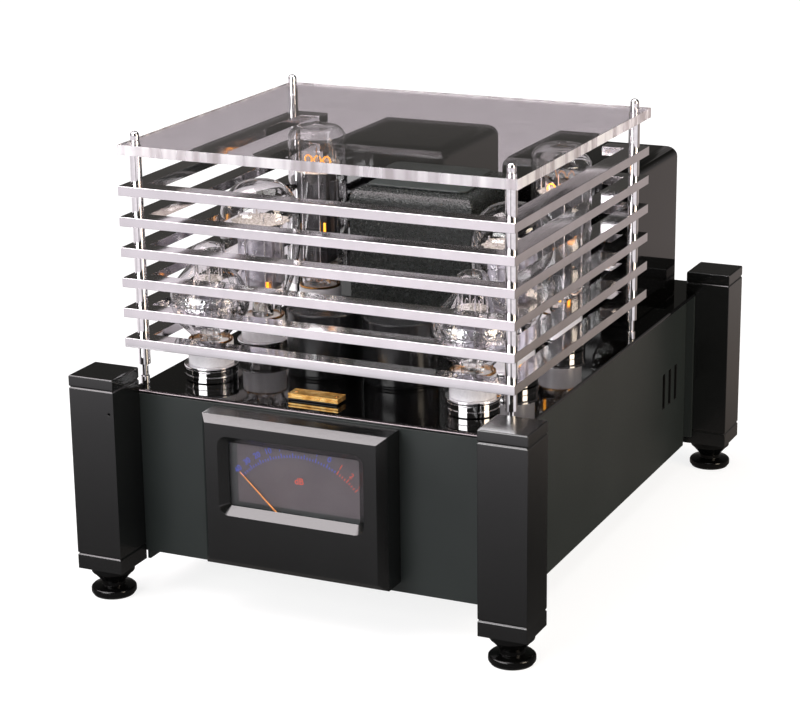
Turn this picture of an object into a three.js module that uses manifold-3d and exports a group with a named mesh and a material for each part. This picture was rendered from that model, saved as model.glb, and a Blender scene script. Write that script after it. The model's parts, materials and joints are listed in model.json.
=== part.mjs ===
// Tube power amplifier: a black chassis on four pillars, with a level meter in the front,
// six tubes, two capacitor cans and three transformers on the deck, inside a barred cage.
// Millimetres, +Z up, front panel towards -Y. The origin lies on the ground under the middle.

import * as THREE from 'three';
import { mergeVertices } from 'three/addons/utils/BufferGeometryUtils.js';
import { ConvexGeometry } from 'three/addons/geometries/ConvexGeometry.js';
import Module from 'manifold-3d';

const wasm = await Module();
wasm.setup();

// Clearance between pieces that rest on or in each other, and overrun of every cutter
const GAP = 0.3;
const OVERRUN = 1;

// Levelling feet
const FOOT_PAD_RADIUS = 21;
const FOOT_PAD_HEIGHT = 7;
const FOOT_NECK_LOW_RADIUS = 14;
const FOOT_NECK_TOP_RADIUS = 13.5;
const FOOT_NECK_HEIGHT = 14;
const FOOT_DISC_RADIUS = 20;
const FOOT_DISC_HEIGHT = 7.6;
const FOOT_EDGE = 1;
const FOOT_STUD_RADIUS = 4;
const FOOT_STUD_LENGTH = 14;

// Corner pillars
const PILLAR_SIDE = 46;
const PILLAR_PITCH_X = 400;
const PILLAR_PITCH_Y = 557;
const PILLAR_BASE_HEIGHT = 13.6;
const PILLAR_GROOVE_HEIGHT = 2.5;
const PILLAR_GROOVE_DEPTH = 1.2;
const PILLAR_COLUMN_HEIGHT = 158.4;
const PILLAR_CAP_HEIGHT = 9.8;
const PILLAR_CHAMFER = 0.8;
const SENSOR_HOLE_RADIUS = 1.3;
const SENSOR_HOLE_DEPTH = 6;
const SENSOR_HOLE_INSET = 5;
const SENSOR_HOLE_DROP = 32.7;

// Deck plate with the cage's ferrules
const DECK_BELOW_CAPS = 21.7;
const DECK_THICKNESS = 3;
const DECK_OVERLAP = 10.3;
const DECK_SETBACK = 1.5;
const DECK_TONGUE_SETBACK = 1.5;
const FERRULE_RADIUS = 4.1;
const FERRULE_HEIGHT = 8;

// Panels round the chassis
const PANEL_THICKNESS = 4.2;
const PANEL_OVERLAP = 10;
const PANEL_HEIGHT = 153.7;
const SIDE_PANEL_DROP = 10;
const SIDE_PANEL_THICKNESS = 3;
const SIDE_PANEL_STEP = 2;
const BOTTOM_PLATE_THICKNESS = 2;
const SLOT_COUNT = 3;
const SLOT_WIDTH = 7;
const SLOT_HEIGHT = 37;
const SLOT_PITCH = 18.5;
const SLOT_FIRST_Y = 183;
const SLOT_DROP = 69;
const WIRE_HOLE_RADIUS = 10;

// Level meter
const METER_OFFSET = -7;
const BEZEL_WIDTH = 182.4;
const BEZEL_HEIGHT = 142.5;
const BEZEL_DROP = 4.5;
const BEZEL_SIDE_DEPTH = 24.5;
const BEZEL_CHAMFER_DEPTH = 9;
const BEZEL_SIDE_INSET = 7;
const BEZEL_TOP_INSET = 5.6;
const BEZEL_BOTTOM_INSET = 7.6;
const WINDOW_WIDTH = 144;
const WINDOW_HEIGHT = 74.5;
const WINDOW_RADIUS = 10;
const WINDOW_DROP = 16.5;
const WINDOW_LIP = 7.5;
const POCKET_MARGIN = 2;
const POCKET_BELOW_WINDOW = 24;
const GLASS_THICKNESS = 1.6;
const DIAL_DEPTH = 12.5;
const DIAL_THICKNESS = 1.5;
const NEEDLE_PIVOT_OFFSET = 3.2;
const NEEDLE_PIVOT_DROP = 15.5;
const NEEDLE_LENGTH = 80;
const NEEDLE_WIDTH = 1.6;
const NEEDLE_THICKNESS = 0.8;
const NEEDLE_TAIL = 8;
const NEEDLE_HUB_RADIUS = 4.5;
const NEEDLE_HUB_HEIGHT = 2;
const NEEDLE_SHAFT_RADIUS = 1.5;
const NEEDLE_SHAFT_LENGTH = 4;
const NEEDLE_REST_DEGREES = 47;

// Brass plate on its pedestal
const PLATE_WIDTH = 50;
const PLATE_DEPTH = 16;
const PLATE_THICKNESS = 3;
const PEDESTAL_MARGIN = 2;
const PEDESTAL_HEIGHT = 4;
const PLATE_OFFSET = -12;
const PLATE_FROM_DECK_FRONT = 31;

// Cage
const POST_FROM_DECK_SIDE = 5.9;
const POST_FROM_DECK_FRONT = 17.5;
const POST_PITCH_Y = 307;
const RAIL_WIDTH = 19;
const RAIL_HEIGHT = 8.7;
const RAIL_RETURN = 41;
const RAIL_COUNT = 6;
const RAIL_FIRST_RISE = 38.5;
const RAIL_BELOW_ROOF = 27.4;
const POST_INSET_SIDE = 9.9;
const POST_INSET_FRONT = 16.7;
const POST_INSET_REAR = 15.6;
const POST_PIN_RADIUS = 2;
const POST_PIN_BELOW_DECK = 4;
const POST_NECK_RADIUS = 3.05;
const POST_NECK_HEIGHT = 11;
const POST_RADIUS = 5.4;
const POST_EDGE = 0.8;
const FINIAL_RADIUS = 4.5;
const FINIAL_STRAIGHT = 12;
const FINIAL_DOME = 8.5;
const ROOF_OVERHANG_SIDE = 1;
const ROOF_FRONT_SETBACK = 3.5;
const ROOF_REAR_OVERHANG = 0.7;
const ROOF_THICKNESS = 9.4;
const ROOF_ABOVE_BULBS = 21.3;

// Sockets and tubes
const TUBE_FROM_POST_SIDE = 53;
const FRONT_LEFT_SHIFT = 6;
const FRONT_TUBE_FROM_POST = 40.8;
const FRONT_TO_MIDDLE_TUBE = 91.5;
const MIDDLE_TO_REAR_TUBE = 122;
const SOCKET_RADIUS = 25.5;
const SOCKET_HEIGHT = 12;
const SOCKET_GROOVE_DEPTH = 1.2;
const SOCKET_GROOVE_HEIGHT = 1;
const SPIGOT_RADIUS = 16;
const SPIGOT_DEPTH = 12;
const PIN_COUNT = 4;
const PIN_RADIUS = 1.6;
const PIN_LENGTH = 12;
const PIN_CIRCLE_RADIUS = 10;
const FLANGE_RADIUS = 27;
const FLANGE_THICKNESS = 2.5;
const BASE_RADIUS = 21;
const BASE_HEIGHT = 21.2;
const COLLAR_RADIUS = 22;
const COLLAR_HEIGHT = 6;
const NECK_RADIUS = 18;
const GLASS_WALL = 1.2;
const STEM_RADIUS = 8;
const STEM_HEIGHT = 22;
const ROD_SIDE = 2;
const MICA_THICKNESS = 1.2;
const FRONT_BULB_RADIUS = 37;
const FRONT_BULB_HEIGHT = 93.3;
const FRONT_ANODE_WIDTH = 30;
const FRONT_ANODE_DEPTH = 16;
const FRONT_ANODE_HEIGHT = 34;
const FRONT_MICA_RADIUS = 15;
const MIDDLE_BULB_RADIUS = 39;
const MIDDLE_BULB_HEIGHT = 132.3;
const MIDDLE_ANODE_WIDTH = 36;
const MIDDLE_ANODE_DEPTH = 18;
const MIDDLE_ANODE_HEIGHT = 62;
const MIDDLE_MICA_RADIUS = 24;
const REAR_BULB_RADIUS = 29;
const REAR_BULB_HEIGHT = 158;
const REAR_ANODE_WIDTH = 36;
const REAR_ANODE_DEPTH = 20;
const REAR_ANODE_HEIGHT = 96;
const REAR_MICA_RADIUS = 24;

// Middle row of the deck: capacitor cans
const MIDDLE_OFFSET = -8;
const CAN_RADIUS = 35;
const CAN_HEIGHT = 61;
const CAN_PITCH = 78.5;
const CAN_BEFORE_MIDDLE_TUBE = 30.8;
const CAN_EDGE = 2.5;
const CAN_RECESS = 1.5;

// Power transformer in the middle, with a raised lid plate
const POWER_WIDTH = 128;
const POWER_DEPTH = 96;
const POWER_HEIGHT = 150;
const POWER_BEHIND_MIDDLE_TUBE = 76.2;
const POWER_ROUND = 12;
const LID_INSET = 12;
const LID_THICKNESS = 2;
const LID_RADIUS = 8;

// Output transformers behind the tubes
const OUTPUT_WIDTH = 134;
const OUTPUT_DEPTH = 145;
const OUTPUT_HEIGHT = 156;
const OUTPUT_ROUND = 12;
const OUTPUT_CENTRE_X = 99;
const OUTPUT_BEHIND_RAILS = 18.9;

// Rear panel fittings
const FITTING_RISE = 60;
const INLET_X = 0;
const INLET_FLANGE_WIDTH = 50;
const INLET_FLANGE_HEIGHT = 28;
const INLET_FLANGE_THICKNESS = 3;
const INLET_BODY_WIDTH = 28;
const INLET_BODY_HEIGHT = 20;
const INLET_BODY_DEPTH = 20;
const INLET_CAVITY_WIDTH = 24;
const INLET_CAVITY_HEIGHT = 16;
const INLET_CAVITY_DEPTH = 17;
const BLADE_WIDTH = 2;
const BLADE_HEIGHT = 4;
const BLADE_LENGTH = 11;
const BLADE_SPREAD = 7;
const BLADE_RISE = 2;
const SWITCH_X = 62;
const SWITCH_FLANGE_WIDTH = 18;
const SWITCH_FLANGE_HEIGHT = 26;
const SWITCH_FLANGE_THICKNESS = 2;
const SWITCH_BODY_MARGIN = 1;
const SWITCH_BODY_DEPTH = 10;
const ROCKER_HALF_HEIGHT = 8.2;
const ROCKER_WIDTH = 11.2;
const ROCKER_END_RISE = 3.2;
const ROCKER_MIDDLE_RISE = 1.8;
const ROCKER_END_FOOT = 1;
const ROCKER_FOOT_DROP = 2.5;
const ROCKER_FOOT_HALF = 5;
const ROCKER_TILT_DEGREES = 8;
const AXLE_RADIUS = 1.2;
const AXLE_STUB = 0.9;
const JACK_PLATE_X = -62;
const JACK_PLATE_WIDTH = 38;
const JACK_PLATE_HEIGHT = 18;
const JACK_PLATE_THICKNESS = 2;
const JACK_PITCH = 20;
const JACK_RADIUS = 4.2;
const JACK_LENGTH = 10;
const JACK_BORE_RADIUS = 1.7;
const JACK_BORE_DEPTH = 9;
const JACK_STUD_RADIUS = 3;
const SPEAKER_X = 128;
const SPEAKER_PLATE_WIDTH = 46;
const SPEAKER_PLATE_HEIGHT = 26;
const SPEAKER_PLATE_THICKNESS = 3;
const SPEAKER_PITCH = 22;
const SPEAKER_RADIUS = 7.5;
const SPEAKER_LENGTH = 22;
const SPEAKER_BORE_RADIUS = 2.1;
const SPEAKER_BORE_DEPTH = 20;
const SPEAKER_STUD_RADIUS = 4;
const STUD_LENGTH = 12;

// Bulb outlines: radius as a share of the bulb's radius, height as a share of its height.
// The neck below the first point has the neck's own radius.
const FRONT_BULB_SHARES = [
  [0.74, 0.17], [0.92, 0.26], [1, 0.385], [0.95, 0.5], [0.8, 0.62], [0.56, 0.73], [0.45, 0.8],
  [0.42, 0.89], [0.3, 0.965],
];
const MIDDLE_BULB_SHARES = [
  [0.6, 0.15], [0.76, 0.26], [0.9, 0.4], [0.98, 0.55], [1, 0.69], [0.93, 0.81], [0.76, 0.91],
  [0.45, 0.98],
];
const REAR_BULB_SHARES = [
  [0.86, 0.09], [0.98, 0.13], [1, 0.18], [1, 0.86], [0.93, 0.93], [0.7, 0.968], [0.22, 0.98],
  [0.15, 0.992],
];
const NECK_HEIGHT_SHARE = 0.06;
const SOCKET_GROOVE_SHARES = [1 / 3, 2 / 3];

// Facets round turned pieces
const PIN_FACETS = 6;
const COARSE = 8;
const MEDIUM = 12;
const BULB_FACETS = 16;
const FINE = 20;
const BEZEL_ARC = 6;

// Sizes that follow from the ones above
const footTop = FOOT_PAD_HEIGHT + FOOT_NECK_HEIGHT + FOOT_DISC_HEIGHT;
const pillarBottom = footTop + GAP;
const grooveBottom = pillarBottom + PILLAR_BASE_HEIGHT;
const columnBottom = grooveBottom + PILLAR_GROOVE_HEIGHT;
const columnTop = columnBottom + PILLAR_COLUMN_HEIGHT;
const capBottom = columnTop + PILLAR_GROOVE_HEIGHT;
const pillarTop = capBottom + PILLAR_CAP_HEIGHT;
const pillarX = PILLAR_PITCH_X / 2;
const pillarY = PILLAR_PITCH_Y / 2;
const pillarInnerX = pillarX - PILLAR_SIDE / 2;
const pillarInnerY = pillarY - PILLAR_SIDE / 2;
const pillarOuterY = pillarY + PILLAR_SIDE / 2;

const deckTop = pillarTop - DECK_BELOW_CAPS;
const deckBottom = deckTop - DECK_THICKNESS;
const deckHalfWidth = pillarInnerX + DECK_OVERLAP;
const deckHalfDepth = pillarInnerY - DECK_SETBACK;
const panelTop = deckBottom - GAP;
const panelOuterY = pillarInnerY - GAP;
const panelInnerY = panelOuterY - PANEL_THICKNESS;
const sidePanelOuterX = pillarInnerX + SIDE_PANEL_STEP;
const sidePanelInnerX = sidePanelOuterX - SIDE_PANEL_THICKNESS;
const panelBottom = panelTop - PANEL_HEIGHT;
const sidePanelBottom = panelBottom - SIDE_PANEL_DROP;

const postX = deckHalfWidth - POST_FROM_DECK_SIDE;
const postFrontY = POST_FROM_DECK_FRONT - deckHalfDepth;
const postRearY = postFrontY + POST_PITCH_Y;
const railHalf = postX + POST_INSET_SIDE;
const railFrontY = postFrontY - POST_INSET_FRONT;
const railRearY = postRearY + POST_INSET_REAR;
const ferruleTop = deckTop + FERRULE_HEIGHT;

const tubeX = postX - TUBE_FROM_POST_SIDE;
const frontTubeY = postFrontY + FRONT_TUBE_FROM_POST;
const middleTubeY = frontTubeY + FRONT_TO_MIDDLE_TUBE;
const rearTubeY = middleTubeY + MIDDLE_TO_REAR_TUBE;
const canY = middleTubeY - CAN_BEFORE_MIDDLE_TUBE;
const powerFrontY = middleTubeY + POWER_BEHIND_MIDDLE_TUBE;
const outputFrontY = railRearY + OUTPUT_BEHIND_RAILS;

const socketBottom = deckTop + GAP;
const socketTop = deckTop + SOCKET_HEIGHT;
const flangeBottom = socketTop + GAP;
const baseTop = flangeBottom + FLANGE_THICKNESS + BASE_HEIGHT;

const roofBottom = baseTop + GAP + REAR_BULB_HEIGHT + ROOF_ABOVE_BULBS;
const postShoulder = roofBottom - GAP;
const firstRailTop = deckTop + RAIL_FIRST_RISE + RAIL_HEIGHT;
const railPitch = (roofBottom - RAIL_BELOW_ROOF - firstRailTop) / (RAIL_COUNT - 1);

const bezelBack = -panelOuterY - GAP;
const bezelShoulder = bezelBack - BEZEL_SIDE_DEPTH;
const bezelFront = bezelShoulder - BEZEL_CHAMFER_DEPTH;
const bezelTop = deckTop - BEZEL_DROP;
const bezelBottom = bezelTop - BEZEL_HEIGHT;
const windowTop = bezelTop - WINDOW_DROP;
const windowBottom = windowTop - WINDOW_HEIGHT;
const pocketTop = windowTop + POCKET_MARGIN;
const pocketBottom = windowBottom - POCKET_BELOW_WINDOW;
const pocketHalf = WINDOW_WIDTH / 2 + POCKET_MARGIN;
const lipBack = bezelFront + WINDOW_LIP;
const dialFace = bezelFront + DIAL_DEPTH;

const rearFace = panelOuterY + GAP;
const fittingZ = panelBottom + FITTING_RISE;

const CORNERS = [
  { name: 'front_left', x: -1, y: -1 },
  { name: 'front_right', x: 1, y: -1 },
  { name: 'rear_left', x: -1, y: 1 },
  { name: 'rear_right', x: 1, y: 1 },
];

const TUBES = [
  {
    name: 'front', y: frontTubeY, leftShift: FRONT_LEFT_SHIFT,
    radius: FRONT_BULB_RADIUS, height: FRONT_BULB_HEIGHT,
    shares: FRONT_BULB_SHARES, anode: [FRONT_ANODE_WIDTH, FRONT_ANODE_DEPTH, FRONT_ANODE_HEIGHT],
    mica: FRONT_MICA_RADIUS,
  },
  {
    name: 'middle', y: middleTubeY, leftShift: 0,
    radius: MIDDLE_BULB_RADIUS, height: MIDDLE_BULB_HEIGHT,
    shares: MIDDLE_BULB_SHARES, anode: [MIDDLE_ANODE_WIDTH, MIDDLE_ANODE_DEPTH, MIDDLE_ANODE_HEIGHT],
    mica: MIDDLE_MICA_RADIUS,
  },
  {
    name: 'rear', y: rearTubeY, leftShift: 0,
    radius: REAR_BULB_RADIUS, height: REAR_BULB_HEIGHT,
    shares: REAR_BULB_SHARES, anode: [REAR_ANODE_WIDTH, REAR_ANODE_DEPTH, REAR_ANODE_HEIGHT],
    mica: REAR_MICA_RADIUS,
  },
];

const SIDES = [
  { name: 'left', x: -1 },
  { name: 'right', x: 1 },
];

function tubePlaceX(tube, side) {
  return side.x < 0 ? -tubeX - tube.leftShift : tubeX;
}

// Materials

function material(color, roughness, metalness) {
  return new THREE.MeshStandardMaterial({ color, roughness, metalness });
}

const blackPaint = material('#1b1d1c', 0.35, 0.2);
const glossBlack = material('#0d0e0e', 0.12, 0.3);
const satinBlack = material('#151615', 0.4, 0.4);
const crinkleBlack = material('#202221', 0.7, 0.1);
const barAluminium = material('#cfc7cc', 0.25, 1);
const chrome = material('#d8d8da', 0.12, 1);
const brass = material('#c7a560', 0.25, 1);
const acrylic = material('#dcdfe2', 0.05, 0);
const glass = material('#dfe3e6', 0.05, 0);
const ceramic = material('#ece8e0', 0.3, 0);
const dialGrey = material('#6f6467', 0.5, 0);
const needleOrange = material('#e0692a', 0.4, 0);
const canBlack = material('#1a1a1c', 0.3, 0);
const plastic = material('#161617', 0.45, 0);
const rubber = material('#191919', 0.8, 0);

// Geometry helpers

function solidOf(geometry) {
  const bare = geometry.clone();
  bare.deleteAttribute('normal');
  bare.deleteAttribute('uv');
  const merged = mergeVertices(bare, 1e-4);
  const index = Array.from(merged.index.array);
  const kept = [];
  for (let i = 0; i < index.length; i += 3) {
    const [a, b, c] = index.slice(i, i + 3);
    if (a !== b && b !== c && c !== a) {
      kept.push(a, b, c);
    }
  }
  const mesh = new wasm.Mesh({
    numProp: 3,
    vertProperties: new Float32Array(merged.attributes.position.array),
    triVerts: new Uint32Array(kept),
  });
  return new wasm.Manifold(mesh);
}

function geometryOf(solid) {
  const mesh = solid.getMesh();
  const geometry = new THREE.BufferGeometry();
  geometry.setAttribute('position', new THREE.BufferAttribute(mesh.vertProperties, 3));
  geometry.setIndex(new THREE.BufferAttribute(mesh.triVerts, 1));
  geometry.computeVertexNormals();
  return geometry;
}

function piece(name, solid, look) {
  const mesh = new THREE.Mesh(geometryOf(solid), look);
  mesh.name = name;
  return mesh;
}

function join(solids) {
  return solids.reduce((sum, next) => sum.add(next));
}

function cut(solid, cutters) {
  return cutters.reduce((rest, cutter) => rest.subtract(cutter), solid);
}

// Box between two corners, given as a low and a high value along each axis
function block(xs, ys, zs) {
  const geometry = new THREE.BoxGeometry(xs[1] - xs[0], ys[1] - ys[0], zs[1] - zs[0]);
  geometry.translate((xs[0] + xs[1]) / 2, (ys[0] + ys[1]) / 2, (zs[0] + zs[1]) / 2);
  return solidOf(geometry);
}

// Turned piece about the Z axis through (x, y); its outline runs from the bottom to the top
function turned(outline, facets, x = 0, y = 0) {
  const points = outline.map(([radius, height]) => new THREE.Vector2(radius, height));
  const geometry = new THREE.LatheGeometry(points, facets);
  geometry.rotateX(Math.PI / 2);
  geometry.translate(x, y, 0);
  return solidOf(geometry);
}

function rod(radius, bottom, top, facets, x = 0, y = 0) {
  return turned([[0, bottom], [radius, bottom], [radius, top], [0, top]], facets, x, y);
}

// Rod along the Y axis, from front to back
function rodAlongY(radius, front, back, facets, x, z) {
  const geometry = new THREE.CylinderGeometry(radius, radius, back - front, facets);
  geometry.translate(x, (front + back) / 2, z);
  return solidOf(geometry);
}

// Rod along the X axis, centred on x = 0 of its own frame
function rodAlongX(radius, half, facets) {
  const geometry = new THREE.CylinderGeometry(radius, radius, half * 2, facets);
  geometry.rotateZ(Math.PI / 2);
  return solidOf(geometry);
}

// Outline in X and Y, raised from bottom to top
function raised(shape, bottom, top, curveSegments = 4) {
  const depth = top - bottom;
  const geometry = new THREE.ExtrudeGeometry(shape, { depth, bevelEnabled: false, curveSegments });
  geometry.translate(0, 0, bottom);
  return solidOf(geometry);
}

// Outline in X and Z, drawn out along Y from front to back
function drawnAlongY(shape, front, back, curveSegments = 4) {
  const depth = back - front;
  const geometry = new THREE.ExtrudeGeometry(shape, { depth, bevelEnabled: false, curveSegments });
  geometry.rotateX(Math.PI / 2);
  geometry.translate(0, back, 0);
  return solidOf(geometry);
}

// Outline in Y and Z, drawn out along X from left to right
function drawnAlongX(shape, left, right, curveSegments = 4) {
  const depth = right - left;
  const geometry = new THREE.ExtrudeGeometry(shape, { depth, bevelEnabled: false, curveSegments });
  const turn = new THREE.Matrix4().makeBasis(
    new THREE.Vector3(0, 1, 0), new THREE.Vector3(0, 0, 1), new THREE.Vector3(1, 0, 0),
  );
  geometry.applyMatrix4(turn);
  geometry.translate(left, 0, 0);
  return solidOf(geometry);
}

function polygon(points) {
  return new THREE.Shape(points.map(([x, y]) => new THREE.Vector2(x, y)));
}

function roundedRectangle(xs, ys, radius) {
  const shape = new THREE.Shape();
  shape.moveTo(xs[0] + radius, ys[0]);
  shape.lineTo(xs[1] - radius, ys[0]);
  shape.absarc(xs[1] - radius, ys[0] + radius, radius, -Math.PI / 2, 0, false);
  shape.lineTo(xs[1], ys[1] - radius);
  shape.absarc(xs[1] - radius, ys[1] - radius, radius, 0, Math.PI / 2, false);
  shape.lineTo(xs[0] + radius, ys[1]);
  shape.absarc(xs[0] + radius, ys[1] - radius, radius, Math.PI / 2, Math.PI, false);
  shape.lineTo(xs[0], ys[0] + radius);
  shape.absarc(xs[0] + radius, ys[0] + radius, radius, Math.PI, Math.PI * 1.5, false);
  return shape;
}

// Outline with square bottom corners and round top corners
function archedRectangle(across, bottom, top, radius) {
  const shape = new THREE.Shape();
  shape.moveTo(across[0], bottom);
  shape.lineTo(across[1], bottom);
  shape.lineTo(across[1], top - radius);
  shape.absarc(across[1] - radius, top - radius, radius, 0, Math.PI / 2, false);
  shape.lineTo(across[0] + radius, top);
  shape.absarc(across[0] + radius, top - radius, radius, Math.PI / 2, Math.PI, false);
  return shape;
}

// Case with all its top edges rounded: the overlap of a front and a side outline
function roundedCase(xs, ys, bottom, top, radius) {
  const front = drawnAlongY(archedRectangle(xs, bottom, top, radius), ys[0], ys[1]);
  const side = drawnAlongX(archedRectangle(ys, bottom, top, radius), xs[0], xs[1]);
  return front.intersect(side);
}

// Chassis

function deckPlate() {
  const tongueHalf = pillarInnerX - GAP;
  const tongueEnd = pillarOuterY - DECK_TONGUE_SETBACK;
  const outline = polygon([
    [-deckHalfWidth, -deckHalfDepth], [deckHalfWidth, -deckHalfDepth], [deckHalfWidth, deckHalfDepth],
    [tongueHalf, deckHalfDepth], [tongueHalf, tongueEnd], [-tongueHalf, tongueEnd],
    [-tongueHalf, deckHalfDepth], [-deckHalfWidth, deckHalfDepth],
  ]);
  const parts = [raised(outline, deckBottom, deckTop)];
  const cutters = [];
  for (const corner of CORNERS) {
    const y = corner.y < 0 ? postFrontY : postRearY;
    const x = corner.x * postX;
    const middle = deckTop - DECK_THICKNESS / 2;
    parts.push(rod(FERRULE_RADIUS, middle, ferruleTop, COARSE, x, y));
    const bore = POST_PIN_RADIUS + GAP;
    cutters.push(rod(bore, deckBottom - OVERRUN, ferruleTop + OVERRUN, COARSE, x, y));
  }
  for (const tube of TUBES) {
    for (const side of SIDES) {
      const hole = SPIGOT_RADIUS + GAP;
      const x = tubePlaceX(tube, side);
      cutters.push(rod(hole, deckBottom - OVERRUN, deckTop + OVERRUN, MEDIUM, x, tube.y));
    }
  }
  return piece('deck_plate', cut(join(parts), cutters), glossBlack);
}

function frontPanel() {
  const half = pillarInnerX + PANEL_OVERLAP;
  const plate = block([-half, half], [-panelOuterY, -panelInnerY], [panelBottom, panelTop]);
  const holeZ = (windowTop + windowBottom) / 2;
  const front = -panelOuterY - OVERRUN;
  const back = -panelInnerY + OVERRUN;
  const hole = rodAlongY(WIRE_HOLE_RADIUS, front, back, MEDIUM, METER_OFFSET, holeZ);
  return piece('front_panel', cut(plate, [hole]), blackPaint);
}

function rearPanel() {
  const half = pillarInnerX + PANEL_OVERLAP;
  const plate = block([-half, half], [panelInnerY, panelOuterY], [panelBottom, panelTop]);
  const ys = [panelInnerY - OVERRUN, panelOuterY + OVERRUN];
  const cutters = [
    block(...spanAbout(INLET_X, fittingZ, INLET_BODY_WIDTH, INLET_BODY_HEIGHT, ys, GAP)),
    block(...spanAbout(SWITCH_X, fittingZ, switchBodyWidth, switchBodyHeight, ys, GAP)),
  ];
  for (const x of studPlaces(JACK_PLATE_X, JACK_PITCH)) {
    cutters.push(rodAlongY(JACK_STUD_RADIUS + GAP, ys[0], ys[1], COARSE, x, fittingZ));
  }
  for (const side of SIDES) {
    for (const x of studPlaces(side.x * SPEAKER_X, SPEAKER_PITCH)) {
      cutters.push(rodAlongY(SPEAKER_STUD_RADIUS + GAP, ys[0], ys[1], COARSE, x, fittingZ));
    }
  }
  return piece('rear_panel', cut(plate, cutters), blackPaint);
}

function sidePanel(side) {
  const outer = side.x * sidePanelOuterX;
  const inner = side.x * sidePanelInnerX;
  const xs = [Math.min(outer, inner), Math.max(outer, inner)];
  const end = panelInnerY - GAP;
  const plate = block(xs, [-end, end], [sidePanelBottom, panelTop]);
  const cutters = [];
  for (let i = 0; i < SLOT_COUNT; i += 1) {
    const y = SLOT_FIRST_Y + i * SLOT_PITCH;
    const top = deckTop - SLOT_DROP;
    cutters.push(block(
      [xs[0] - OVERRUN, xs[1] + OVERRUN],
      [y - SLOT_WIDTH / 2, y + SLOT_WIDTH / 2],
      [top - SLOT_HEIGHT, top],
    ));
  }
  return piece(`side_panel_${side.name}`, cut(plate, cutters), blackPaint);
}

function bottomPlate() {
  const half = sidePanelInnerX - GAP;
  const end = panelInnerY - GAP;
  const plate = block([-half, half], [-end, end], [panelBottom, panelBottom + BOTTOM_PLATE_THICKNESS]);
  return piece('bottom_plate', plate, blackPaint);
}

// Square pillar, turned with four facets: grooves mark off its base block and its cap
function pillar(corner) {
  const half = PILLAR_SIDE / 2;
  const waist = half - PILLAR_GROOVE_DEPTH;
  const edge = half - PILLAR_CHAMFER;
  const outline = [
    [0, pillarBottom], [half, pillarBottom], [half, grooveBottom],
    [waist, grooveBottom + PILLAR_GROOVE_HEIGHT / 2], [half, columnBottom], [half, columnTop],
    [waist, columnTop + PILLAR_GROOVE_HEIGHT / 2], [half, capBottom],
    [half, pillarTop - PILLAR_CHAMFER], [edge, pillarTop], [0, pillarTop],
  ].map(([side, z]) => [side * Math.SQRT2, z]);
  const points = outline.map(([radius, height]) => new THREE.Vector2(radius, height));
  const geometry = new THREE.LatheGeometry(points, 4);
  geometry.rotateX(Math.PI / 2);
  geometry.rotateZ(Math.PI / 4);
  const x = corner.x * pillarX;
  const y = corner.y * pillarY;
  geometry.translate(x, y, 0);
  const studTop = pillarBottom + FOOT_STUD_LENGTH;
  const cutters = [rod(FOOT_STUD_RADIUS + GAP, pillarBottom - OVERRUN, studTop, MEDIUM, x, y)];
  if (corner.name === 'front_left') {
    const front = -pillarOuterY;
    const holeX = -pillarInnerX - SENSOR_HOLE_INSET;
    const holeZ = pillarTop - SENSOR_HOLE_DROP;
    cutters.push(rodAlongY(
      SENSOR_HOLE_RADIUS, front - OVERRUN, front + SENSOR_HOLE_DEPTH, COARSE, holeX, holeZ,
    ));
  }
  return piece(`pillar_${corner.name}`, cut(solidOf(geometry), cutters), satinBlack);
}

function foot(corner) {
  const neckTop = FOOT_PAD_HEIGHT + FOOT_NECK_HEIGHT;
  const outline = [
    [0, 0], [FOOT_PAD_RADIUS - FOOT_EDGE, 0], [FOOT_PAD_RADIUS, FOOT_EDGE],
    [FOOT_PAD_RADIUS, FOOT_PAD_HEIGHT - FOOT_EDGE], [FOOT_PAD_RADIUS - FOOT_EDGE, FOOT_PAD_HEIGHT],
    [FOOT_NECK_LOW_RADIUS, FOOT_PAD_HEIGHT], [FOOT_NECK_TOP_RADIUS, neckTop],
    [FOOT_DISC_RADIUS, neckTop], [FOOT_DISC_RADIUS, footTop], [FOOT_STUD_RADIUS, footTop],
    [FOOT_STUD_RADIUS, footTop + FOOT_STUD_LENGTH], [0, footTop + FOOT_STUD_LENGTH],
  ];
  const solid = turned(outline, MEDIUM, corner.x * pillarX, corner.y * pillarY);
  return piece(`foot_${corner.name}`, solid, rubber);
}

// Level meter

// Window outline, with the margin taken off all round
function windowOutline(margin) {
  const half = WINDOW_WIDTH / 2 - margin;
  const xs = [METER_OFFSET - half, METER_OFFSET + half];
  return roundedRectangle(xs, [windowBottom + margin, windowTop - margin], WINDOW_RADIUS - margin);
}

function windowPoints(margin, y) {
  return windowOutline(margin).getPoints(BEZEL_ARC).map((point) => new THREE.Vector3(point.x, y, point.y));
}

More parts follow.
